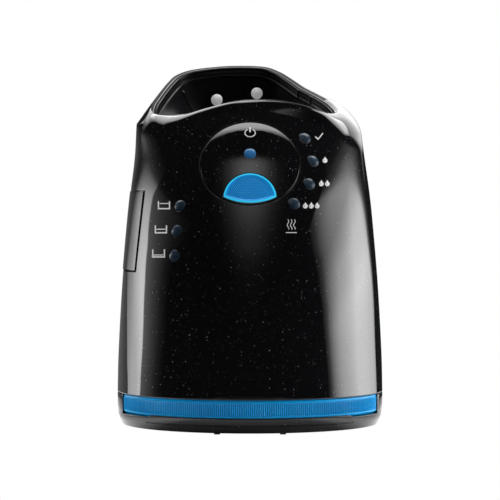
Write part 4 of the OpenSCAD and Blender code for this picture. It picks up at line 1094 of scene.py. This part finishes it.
def chart_piece(name, outline, holes_xy, depth, lift, mat, body_name, replaces, edge=0.35, step=1.0, fine=None, shape=None, shade=None):
    """A plate on the key's curve: outline and holes are closed lines in the key's plane, anticlockwise."""
    surf = shape or (lambda x, y: key_plane(x, y, lift))
    rings = []
    for line, sgn in [(outline, 1.0)] + [(l, -1.0) for l in holes_xy]:
        for off, sink, turn in ((edge, 0, 0), (0.62 * edge, 0.076 * edge, 0.3827), (0.293 * edge, 0.293 * edge, 0.7071),
                                (0.076 * edge, 0.62 * edge, 0.9239), (0.0, edge, 1.0)):
            rings.append((offset_line(line, off * sgn), sink, turn, sgn))
    R = np.abs(np.asarray(outline)).max() + 1
    ctr = np.asarray(outline).mean(0)
    grid = disc_points(np.linalg.norm(np.asarray(outline) - ctr, axis=1).max() + 1, step) + ctr if fine is None else fine

    def inside(L, p):
        L = np.asarray(L)
        a, b = L, np.roll(L, -1, 0)
        hit = np.zeros(len(p), bool)
        for (x0, y0), (x1, y1) in zip(a, b):
            c = ((y0 > p[:, 1]) != (y1 > p[:, 1]))
            xx = (x1 - x0) * (p[:, 1] - y0) / ((y1 - y0) if y1 != y0 else 1e-9) + x0
            hit ^= c & (p[:, 0] < xx)
        return hit

    ok = inside(offset_line(outline, edge + 0.35 * step), grid)
    for l in holes_xy:
        ok &= ~inside(offset_line(l, -(edge + 0.35 * step)), grid)
    g = grid[ok]
    pts, pos, nor, ins, edges = [tuple(v) for v in g], [surf(g[:, 0], g[:, 1])], [], [], []

    def nrm(x, y):
        e, f = 0.12, shade or surf
        return unit(np.cross(f(x + e, y) - f(x - e, y), f(x, y + e) - f(x, y - e)))
    nor.append(nrm(g[:, 0], g[:, 1]))
    ins.append(surf(g[:, 0], g[:, 1]) - depth * KN)
    count = len(pts)
    for L, sink, turn, sgn in rings:
        m = len(L)
        q = surf(L[:, 0], L[:, 1])
        n0 = nrm(L[:, 0], L[:, 1])
        t = unit(np.roll(L, -1, 0) - np.roll(L, 1, 0))
        outw = sgn * (t[:, 1:2] * KX - t[:, 0:1] * KV)
        pos.append(q - sink * KN)
        nor.append(unit(n0 * math.sqrt(max(0, 1 - turn**2)) + outw * turn))
        ins.append(q - depth * KN)
        pts += [tuple(v) for v in L]
        edges += [(count + k, count + (k + 1) % m) for k in range(m)]
        count += m
    out = delaunay_2d_cdt([Vector(v) for v in pts], edges, [], 0, 1e-7)
    back = [i[0] if len(i) else -1 for i in out[3]]
    P2 = np.array(pts)
    F = [tuple(back[i] for i in q) for q in out[2]]
    F = [q for q in F if min(q) >= 0 and len(set(q)) == 3]
    mid = np.array([P2[list(q)].mean(0) for q in F])
    ok = inside(outline, mid)
    for l in holes_xy:
        ok &= ~inside(l, mid)
    F = [q for q, k in zip(F, ok) if k]
    pos, nor, ins = np.concatenate(pos), np.concatenate(nor), np.concatenate(ins)
    used = sorted({i for q in F for i in q})
    new = {o: k for k, o in enumerate(used)}
    F = [tuple(new[i] for i in q) for q in F]
    return thick(name, pos[used], nor[used], ins[used], F, mat, body_name, replaces)


def circle_line(cx, cy, r, n, a0=0.0, a1=360.0, close=True):
    th = np.radians(np.linspace(a0, a1, n, endpoint=not close))
    return np.stack([cx + r * np.cos(th), cy + r * np.sin(th)], -1)


def half_moon(rp, rk, r=0.5, n=64):
    """Outline of the pad: inside a circle round pad_q and inside the key's own circle, with eased corners."""
    th = np.radians(np.arange(0, 360, 0.25))
    c = np.array([0, -14.5])
    # star-shaped round c: nearest of the two circles along each ray
    out = []
    for a in th:
        d = np.array([math.cos(a), math.sin(a)])
        best = 1e9
        for cy, R in ((PAD_Q, rp), (0.0, rk)):
            o = c - np.array([0, cy])
            b = o @ d
            best = min(best, -b + math.sqrt(b * b - o @ o + R * R))
        out.append(c + best * d)
    out = np.array(out)
    # ease the corners a little and space the points evenly
    for _ in range(3):
        out = (np.roll(out, 1, 0) + 2 * out + np.roll(out, -1, 0)) / 4
    s = np.concatenate([[0], np.cumsum(np.linalg.norm(np.diff(np.vstack([out, out[:1]]), axis=0), axis=1))])
    q = np.linspace(0, s[-1], 2 * n, endpoint=False)
    full = np.vstack([out, out[:1]])
    return np.stack([np.interp(q, s, full[:, 0]), np.interp(q, s, full[:, 1])], -1)


hm_hole = half_moon(PAD_R + 0.1, KR - 1.0)
lens_hole = circle_line(0, LENS_Q, LR + LGAP, 48)
chart_piece("key_face", circle_line(0, 0, KR, 180), [hm_hole, lens_hole], 2.1, 0.0, M["key"], "start_key",
            ("key_cap",), edge=0.24, step=0.8, shade=lambda x, y: key_plane(x, y, 0.0, 1.0))


def pad_shape(x, y):
    """Recessed dotted field inside a raised border; the border's brightness is a painted highlight in its own material.
    """
    d = np.minimum(PAD_R - np.hypot(x, y - PAD_Q), (KR - 1.1) - np.hypot(x, y))
    w = -0.05 - 0.35 * np.clip((d - 1.0) / 0.7, 0, 1)
    X, Y = x / 1.0, (y - PAD_Q) / 0.866
    row = np.round(Y)
    fx = X - 0.5 * np.mod(row, 2)
    dx, dy = (fx - np.round(fx)) * 1.0, (Y - row) * 0.866
    rr = np.hypot(dx, dy)
    field = np.clip((d - 2.0) / 0.3, 0, 1)
    w = w - 0.16 * np.clip(1 - (rr / 0.34)**2, 0, 1) * field
    a = np.degrees(np.arctan2(y, x))
    return key_surf(a, np.hypot(x, y), 0.0) + w[..., None] * KN


gx, gy = np.meshgrid(np.arange(-13, 13.01, 0.2), np.arange(-24, -5, 0.2))
fine = np.stack([(gx + 0.1 * (np.arange(gx.shape[0])[:, None] % 2)).ravel(), gy.ravel()], -1)
pad = chart_piece("key_pad_face", half_moon(PAD_R, KR - 1.1), [], 2.2, 0.0, [M["pad"], M["pad_edge_painted_highlight"], M["pad_dot_painted_shade"]], "start_key", ("key_pad",),
                  edge=0.3, step=0.4, fine=fine, shape=pad_shape)
# faces near the border take the pad's painted highlight
for q in pad.data.polygons:
    c = np.array(q.center) * 1000 - KC
    x, y = c @ KX, c @ KV
    d = min(PAD_R - math.hypot(x, y - PAD_Q), KR - 1.1 - math.hypot(x, y))
    row = round((y - PAD_Q) / 0.866)
    fx = x - 0.5 * (row % 2)
    rr = math.hypot(fx - round(fx), y - PAD_Q - 0.866 * row)
    # faces inside the dots take the painted shade
    q.material_index = 1 if d < 0.85 else (2 if d > 1.9 and rr < 0.3 else 0)


def dome(r, high, deep, n=48, m=8):
    prof = [(0, high)]
    for k in range(1, m + 1):
        a = k / m
        prof.append((r * 0.94 * a, high * (1 - a * a) + 0.12 * high * a * a * (1 - a)))
    prof += [(r * 0.985, -0.06), (r, -0.2), (r, -deep), (0, -deep)]
    V, F = lathe(prof[::-1], n)
    return V, F


V, F = dome(LR, 0.55, 2.5)
lens_at = key_plane(np.array(0.0), np.array(LENS_Q))
build("key_lamp", turned(V, KN, lens_at, KV), F, M["lamp_on"], "start_key", ("key_lens",), angle=50)
AV, AF = [], []
for x, z in LENSES:
    n = front_n(np.array(float(x)), np.array(float(z)))
    c = np.array([x, float(front(x, z)), z])
    AF += [tuple(i + sum(len(v) for v in AV) for i in q) for q in F]
    AV.append(turned(V, n, c))
build("status_lamps", np.concatenate(AV), AF, M["lamp_off"], "housing", ("status_lenses",), angle=50)

# ------------------------------------------------------------------ printed marks, as thin raised ink


def finer(L, step):
    """A closed line with points added so that none of its sides is longer than step."""
    L = np.asarray(L, float)
    out = []
    for a, b in zip(L, np.roll(L, -1, 0)):
        k = max(1, int(math.ceil(np.linalg.norm(b - a) / step)))
        out += [a + (b - a) * i / k for i in range(k)]
    return np.array(out)


def ink(name, loops, where, body_name, n_at, step=1.0):
    """Filled shapes: each a list of closed lines (outer, then holes) in picture or key coordinates."""
    V, F = [], []
    for shape in loops:
        pts, edges = [], []
        shape = [finer(L, step) for L in shape]
        for L in shape:
            m = len(pts)
            pts += [tuple(v) for v in L]
            edges += [(m + k, m + (k + 1) % len(L)) for k in range(len(L))]
        out = delaunay_2d_cdt([Vector(v) for v in pts], edges, [], 0, 1e-7)
        P2 = np.array([tuple(v) for v in out[0]])
        keep = []
        for q in out[2]:
            mid = P2[list(q)].mean(0)
            cnt = 0
            for L in shape:
                L = np.asarray(L, float)
                hit = False
                for (x0, y0), (x1, y1) in zip(L, np.roll(L, -1, 0)):
                    if (y0 > mid[1]) != (y1 > mid[1]) and mid[0] < (x1 - x0) * (mid[1] - y0) / (y1 - y0) + x0:
                        hit = not hit
                cnt += hit
            if cnt == 1:
                keep.append(tuple(q))
        top, low = where(P2[:, 0], P2[:, 1], 0.05), where(P2[:, 0], P2[:, 1], -0.12)
        base = sum(len(v) for v in V)
        N = len(P2)
        c = top[list(keep[0])]
        if np.cross(c[1] - c[0], c[2] - c[0]) @ n_at(P2[keep[0][0]]) < 0:
            keep = [q[::-1] for q in keep]
        fs = keep + [tuple(i + N for i in q[::-1]) for q in keep] + close_shell(keep, N)
        F += [tuple(i + base for i in q) for q in fs]
        V += [top, low]
    return build(name, np.concatenate(V), F, M["print"], body_name, angle=40)


def stroke(pts, width, n_cap=6, closed=False):
    """Outline of a line of even width with round ends."""
    pts = np.asarray(pts, float)
    h = width / 2
    t = unit(np.diff(pts, axis=0))
    nrm = np.stack([-t[:, 1], t[:, 0]], -1)
    N = len(pts)
    vn = np.zeros_like(pts)
    for i in range(N):
        a = nrm[max(i - 1, 0)]
        b = nrm[min(i, N - 2)]
        m = unit(a + b)
        vn[i] = m / max(0.5, m @ b)
    left, right = pts + vn * h, pts - vn * h
    a0, a1 = math.atan2(nrm[0][1], nrm[0][0]), math.atan2(-nrm[-1][1], -nrm[-1][0])
    cap0 = [pts[0] + h * np.array([math.cos(a0 + math.pi * k / n_cap), math.sin(a0 + math.pi * k / n_cap)]) for k in range(1, n_cap)]
    cap1 = [pts[-1] + h * np.array([math.cos(a1 + math.pi * k / n_cap), math.sin(a1 + math.pi * k / n_cap)]) for k in range(1, n_cap)]
    return np.array(list(left[::-1]) + cap0 + list(right) + cap1)


def ring_shape(cx, cy, r, width, a0, a1, n=40):
    th = np.radians(np.linspace(a0, a1, n))
    return stroke(np.stack([cx + r * np.cos(th), cy + r * np.sin(th)], -1), width)


def drop(cx, top, h, w):
    """A water drop: a point above a round body."""
    r = w / 2
    cy = top + h - r
    th = np.radians(np.linspace(-35, 215, 26))
    pts = [np.array([cx + r * math.cos(a), cy + r * math.sin(a)]) for a in th]
    pts += [np.array([cx - 0.35 * r, top + 0.42 * (h - r)]), np.array([cx, top]), np.array([cx + 0.35 * r, top + 0.42 * (h - r)])]
    return np.array(pts)


def glint(cx, top, h, w):
    r = w / 2
    cy = top + h - r
    return ring_shape(cx, cy, r * 0.5, r * 0.22, 150, 215, 8)


def wave(x0, x1, y, amp, n=17, cycles=1.5, phase=0.0):
    x = np.linspace(x0, x1, n)
    return np.stack([x, y + amp * np.sin(phase + 2 * math.pi * cycles * (x - x0) / (x1 - x0))], -1)


def wave_v(x, y0, y1, amp, n=15, cycles=1.0):
    y = np.linspace(y0, y1, n)
    return np.stack([x + amp * np.sin(2 * math.pi * cycles * (y - y0) / (y1 - y0)), y], -1)


marks = []
marks.append([stroke([(315.4, 136.9), (317.9, 139.4), (322.6, 133.6)], 0.95)])
for cx, top in ((324.9, 156.6), (321.3, 179.9), (327.3, 179.9), (305.4, 202.1), (311.3, 202.1), (317.2, 202.1)):
    marks.append([drop(cx, top, 6.4, 4.7), glint(cx, top, 6.4, 4.7)])
for cx in (288.0, 291.2, 294.4):
    marks.append([stroke(wave_v(cx, 219.6, 229.4, 0.85, 17, 1.35), 0.6)])
marks.append([stroke([(286.2, 232.6), (296.4, 232.6)], 0.8)])
for x0, x1, y0, y1, lev in ((157.9, 170.1, 201.2, 209.3, 2.3), (154.8, 167.1, 225.3, 233.4, 3.9), (152.1, 165.0, 249.4, 257.6, 5.6)):
    marks.append([np.array([(x0, y0), (x0 + 1.2, y0), (x0 + 1.2, y1 - 1.25), (x1 - 1.2, y1 - 1.25), (x1 - 1.2, y0), (x1, y0), (x1, y1), (x0, y1)])])
    marks.append([stroke(wave(x0 + 1.9, x1 - 1.9, y0 + lev, 0.28, 29, 3), 0.8)])
ink("panel_marks", marks, lambda X, Y, l: at_pixel(X, Y, l), "housing", lambda v: front_n(*(at_pixel(v[0], v[1])[[0, 2]])))


def key_place(x, y, l):
    return key_plane(x, y, l)


PS = [[ring_shape(0.05, 16.6, 2.45, 0.44, 125, 415, 60)], [stroke([(0.05, 17.2), (0.05, 20.1)], 0.6)]]
ink("key_mark", PS, key_place, "start_key", lambda v: KN)

# ------------------------------------------------------------------ release button


def panel(y0, h, i=0.0):
    y0, h = np.broadcast_arrays(np.asarray(y0, float), np.asarray(h, float))
    yc = t_yc(h)
    b = yc - t_yf(h) - i
    u = 180 + np.degrees(np.arcsin(np.clip(y0 / b, 0, 1)))
    a = half_w(u, h) - i
    return np.stack([-a * np.sqrt(1 - (y0 / b)**2), yc - y0, h], -1)


def eased(lo, hi, n, f):
    core = np.linspace(lo + f, hi - f, n)
    e = np.array([0, 0.076, 0.293, 0.62]) * f
    sink = np.array([1, 0.62, 0.293, 0.076]) * f
    return np.concatenate([lo + e, core, (hi - e)[::-1]]), np.concatenate([sink, 0 * core, sink[::-1]])


f = 0.55
cy, sy = eased(0.4, 28.4, 26, f)
ch, shh = eased(74.6, 113.2, 34, f)
Y0, H = np.meshgrid(cy, ch)
Y0 = 0.4 + (Y0 - 0.4) * (t_edge(H) - 0.75) / 28
sink = np.minimum(f, np.hypot(*np.meshgrid(sy, shh)))
P = panel(Y0, H, -0.3)
e = 0.05
n0 = unit(np.cross(panel(Y0 + e, H, -0.3) - panel(Y0 - e, H, -0.3), panel(Y0, H + e, -0.3) - panel(Y0, H - e, -0.3)))
if n0[10, 10, 0] > 0:
    n0 = -n0
P = P - sink[..., None] * n0
ty = unit(panel(Y0 + e, H) - panel(Y0 - e, H))
th_ = unit(panel(Y0, H + e) - panel(Y0, H - e))
ang_y = np.where(Y0 < 14, -1, 1) * np.sqrt(np.clip(1 - (1 - np.meshgrid(sy, shh)[0] / f)**2, 0, 1))
ang_h = np.where(H < 94, -1, 1) * np.sqrt(np.clip(1 - (1 - np.meshgrid(sy, shh)[1] / f)**2, 0, 1))
rest = np.sqrt(np.clip(1 - ang_y**2 - ang_h**2, 0.0, 1))
Nn = unit(n0 * rest[..., None] + ty * ang_y[..., None] + th_ * ang_h[..., None])
Pi = panel(Y0, H, 2.1)
F = quads(*P.shape[:2])
P, Nn, Pi = P.reshape(-1, 3), Nn.reshape(-1, 3), Pi.reshape(-1, 3)
c = P[list(F[len(F) // 2])]
if np.cross(c[1] - c[0], c[2] - c[0])[0] > 0:
    F = [q[::-1] for q in F]
thick("release_panel", P, Nn, Pi, F, M["shell"], "release", ("release_button",))

# ------------------------------------------------------------------ base tray


def outline16(u, i=0.0):
    return body(u, 16.0, i)[..., :2]


# Outer wall profile: [height, inset]
BP = [[0.6, 5.5], [0.6, 3.0], [0.6, 2.1], [0.68, 1.85], [0.95, 1.6], [1.4, 1.35], [2, 1.1], [3, 0.75], [3.75, 0.52], [3.95, 0.47], [4.05, 0.45], [4.25, 0.40], [4.45, 0.36], [5.5, 0.15], [7.0, 0.0]]
NB = 1440
ub = even(-90, 270, NB + 1, 16.0)[0][:-1]
xy0 = outline16(ub)
in_win = (np.abs(xy0[:, 0]) < 61) & (xy0[:, 1] < -8)
in_lip = (np.abs(xy0[:, 0]) < 48.2) & (xy0[:, 1] < -30)
ramp = np.clip((48.2 - np.abs(xy0[:, 0])) / 1.4, 0, 1)
top = np.where(in_win, np.where(in_lip, 6.8 + 0.9 * ramp, 6.8), 15.7)
outn = unit(np.stack([np.gradient(xy0[:, 1]), -np.gradient(xy0[:, 0])], -1))
rows = []
groove = np.clip((49.5 - np.abs(xy0[:, 0])) / 0.8, 0, 1) * (xy0[:, 1] < -30)
for z, i in BP[:-1]:
    g = 0.0
    if z in (3.95, 4.05, 4.25):
        g = groove * 0.35
    rows.append((np.full(NB, z), i + g))
fe = 0.3
for k, (dz, di) in enumerate([(0.0, None)]):
    rows.append((np.minimum(7.0, top - 0.4), np.zeros(NB)))
for q in (0.25, 0.5, 0.75):
    rows.append((np.minimum(7.0, top - 0.4) + (top - fe - np.minimum(7.0, top - 0.4)) * q, np.zeros(NB)))
for a in (0, 30, 60, 90):
    rows.append((top - fe + fe * math.sin(math.radians(a)), np.full(NB, fe * (1 - math.cos(math.radians(a))))))
rows.append((top, np.full(NB, 2.0)))
rows.append((top - 0.3, np.full(NB, 2.3)))
rows.append((np.full(NB, 6.78) - 0.05, np.full(NB, 2.3)))
V = []
for z, i in rows:
    i = np.broadcast_to(i, (NB,))
    a, yc = half_w(ub, np.full(NB, 16.0)) - i, -8.0
    c, s, e2 = np.cos(np.radians(ub)), np.sin(np.radians(ub)), 2 / 2.9
    fx, fy = a * c, yc + (yc + 60 - i) * s
    bx2, by2 = a * np.sign(c) * np.abs(c)**e2, yc + (60 - yc - i) * np.abs(s)**e2
    V.append(np.stack([np.where(s <= 0, fx, bx2), np.where(s <= 0, fy, by2), np.broadcast_to(z, (NB,))], -1))
nrow = len(V)
V = np.concatenate(V)
F = quads(nrow, NB, closed=True)
# floor of the tray and its hollow underside
last = (nrow - 1) * NB
F.append(tuple(range(last, last + NB)))
under = []
base_i = len(V)
cav = V[:NB].copy()
cav[:, 2] = 5.0
V = np.concatenate([V, cav])
F += [(k, base_i + k, base_i + (k + 1) % NB, (k + 1) % NB) for k in range(NB)]
F.append(tuple(range(base_i + NB - 1, base_i - 1, -1)))
tray = build("tray", V, F, M["base"], "base", ("base_tray",), angle=38)

# ------------------------------------------------------------------ cartridge


def ray_out(shapes, cx, cy, th):
    """Radius along each ray from a centre to the nearest of several closed outlines."""
    best = np.full(len(th), 1e9)
    d = np.stack([np.cos(th), np.sin(th)], -1)
    for L in shapes:
        L = np.asarray(L, float) - np.array([cx, cy])
        A, B = L, np.roll(L, -1, 0)
        ang = np.unwrap(np.arctan2(L[:, 1], L[:, 0]))
        if ang[-1] < ang[0]:
            L, ang = L[::-1], ang[::-1]
        r = np.hypot(L[:, 0], L[:, 1])
        a = np.concatenate([ang - 2 * math.pi, ang, ang + 2 * math.pi])
        rr = np.concatenate([r, r, r])
        best = np.minimum(best, np.interp(np.mod(th - ang[0], 2 * math.pi) + ang[0], a, rr))
    return best[:, None] * d + np.array([cx, cy])


def dense(poly, n=40):
    poly = np.asarray(poly, float)
    return np.concatenate([np.linspace(a, b, n, endpoint=False) for a, b in zip(poly, np.roll(poly, -1, 0))])


def clip_poly(i, yb=29.0):
    e = max(0, i - 0.6)
    return dense([[e - 60.6, -70], [60.6 - e, -70], [60.6 - e, -12], [58.4 - e, 0], [58.4 - e, yb - 4], [54 - e, yb],
                  [e - 54, yb], [e - 58.4, yb - 4], [e - 58.4, 0], [e - 60.6, -12]])


CX, CY = 0.0, -14.0
# angles evenly spaced along the band's front
uu = np.linspace(0, 360, 4000, endpoint=False)
TH0 = np.linspace(-math.pi, math.pi, 12000, endpoint=False)
L0 = ray_out([outline16(uu, 0.6), clip_poly(0.6)], CX, CY, TH0)
s0 = np.concatenate([[0], np.cumsum(np.linalg.norm(np.diff(np.vstack([L0, L0[:1]]), axis=0), axis=1))])
NRIB = 4
total = s0[-1]
ncol = int(round(total / 1.0)) * NRIB
sc_ = np.linspace(0, total, ncol, endpoint=False)
TH = np.interp(sc_, s0, np.concatenate([TH0, [math.pi]]))


def low_line(i):
    return ray_out([outline16(uu, i), clip_poly(i)], CX, CY, TH)


def up_line(i, yb=29.0):
    return ray_out([outline16(uu, 5.2 + i), clip_poly(5.2 + i, yb), body(uu, 56.0, 3.6 + i)[..., :2]], CX, CY, TH)


cartn = unit(low_line(0.6) - np.array([CX, CY]))
edge_x = np.abs(low_line(0.6)[:, 0])
front_band = (low_line(0.6)[:, 1] < -10) & (edge_x < 60.3)
phase = np.arange(ncol) % NRIB
rib = np.where(phase == 0, 0.0, np.where(phase == 2, 0.42, 0.21)) * front_band
prof = [(7.1, 1.7, 0), (7.35, 1.35, 0), (7.9, 0.75, 0), (8.3, 0.62, 0), (8.5, 0.62, 0.7), (8.8, 0.62, 1), (10.5, 0.62, 1), (12.5, 0.62, 1), (14.1, 0.62, 1), (14.4, 0.62, 0.7),
        (14.6, 0.66, 0), (14.75, 0.85, 0), (15.3, 0.86, 0), (15.6, 1.1, 0)]
rowsV = []
for z, i, k in prof:
    L = low_line(i) - cartn * (rib * k)[:, None]
    rowsV.append(np.column_stack([L, np.full(ncol, z)]))
for z, i in ((15.6, 0.0), (16.2, 0.0), (49.7, 0.0), (50.0, 0.3)):
    rowsV.append(np.column_stack([up_line(i), np.full(ncol, z)]))
for z in (50.0, 9.0):
    rowsV.append(np.column_stack([up_line(1.8, 27.2), np.full(ncol, z)]))
V = np.concatenate(rowsV)
F = quads(len(rowsV), ncol, closed=True)
F.append(tuple(range((len(rowsV) - 1) * ncol, len(rowsV) * ncol)))
F.append(tuple(range(ncol - 1, -1, -1)))
cart = build("cartridge_body", V, F, [M["cart"], M["cart_groove_painted_shade"]], "base", ("cartridge_tub",), angle=50)
# groove faces of the front ribs take the darker groove blue: painted shade
for k, q in enumerate(cart.data.polygons):
    if 4 <= k // ncol < 9 and k % ncol % NRIB in (1, 2) and front_band[k % ncol]:
        q.material_index = 1

# ------------------------------------------------------------------ contacts
V, F = lathe([(0, -5.2), (2.3, -5.2), (2.3, -0.62), (2.8, -0.6), (2.9, -0.5), (2.9, 0.12)] + [(r, -2.8 + math.sqrt(4.2**2 - r * r)) for r in (2.84, 2.7, 2.4, 2.0, 1.5, 1.0, 0.5, 0)], 56)
for c, nm, bd_ in ((CONTACTS[0], "contact_pin_left", "contact_left"), (CONTACTS[1], "contact_pin_right", "contact_right")):
    build(nm + "_turned", turned(V, CN, c), F, M["chrome_painted_glint"], bd_, (nm,), angle=40)
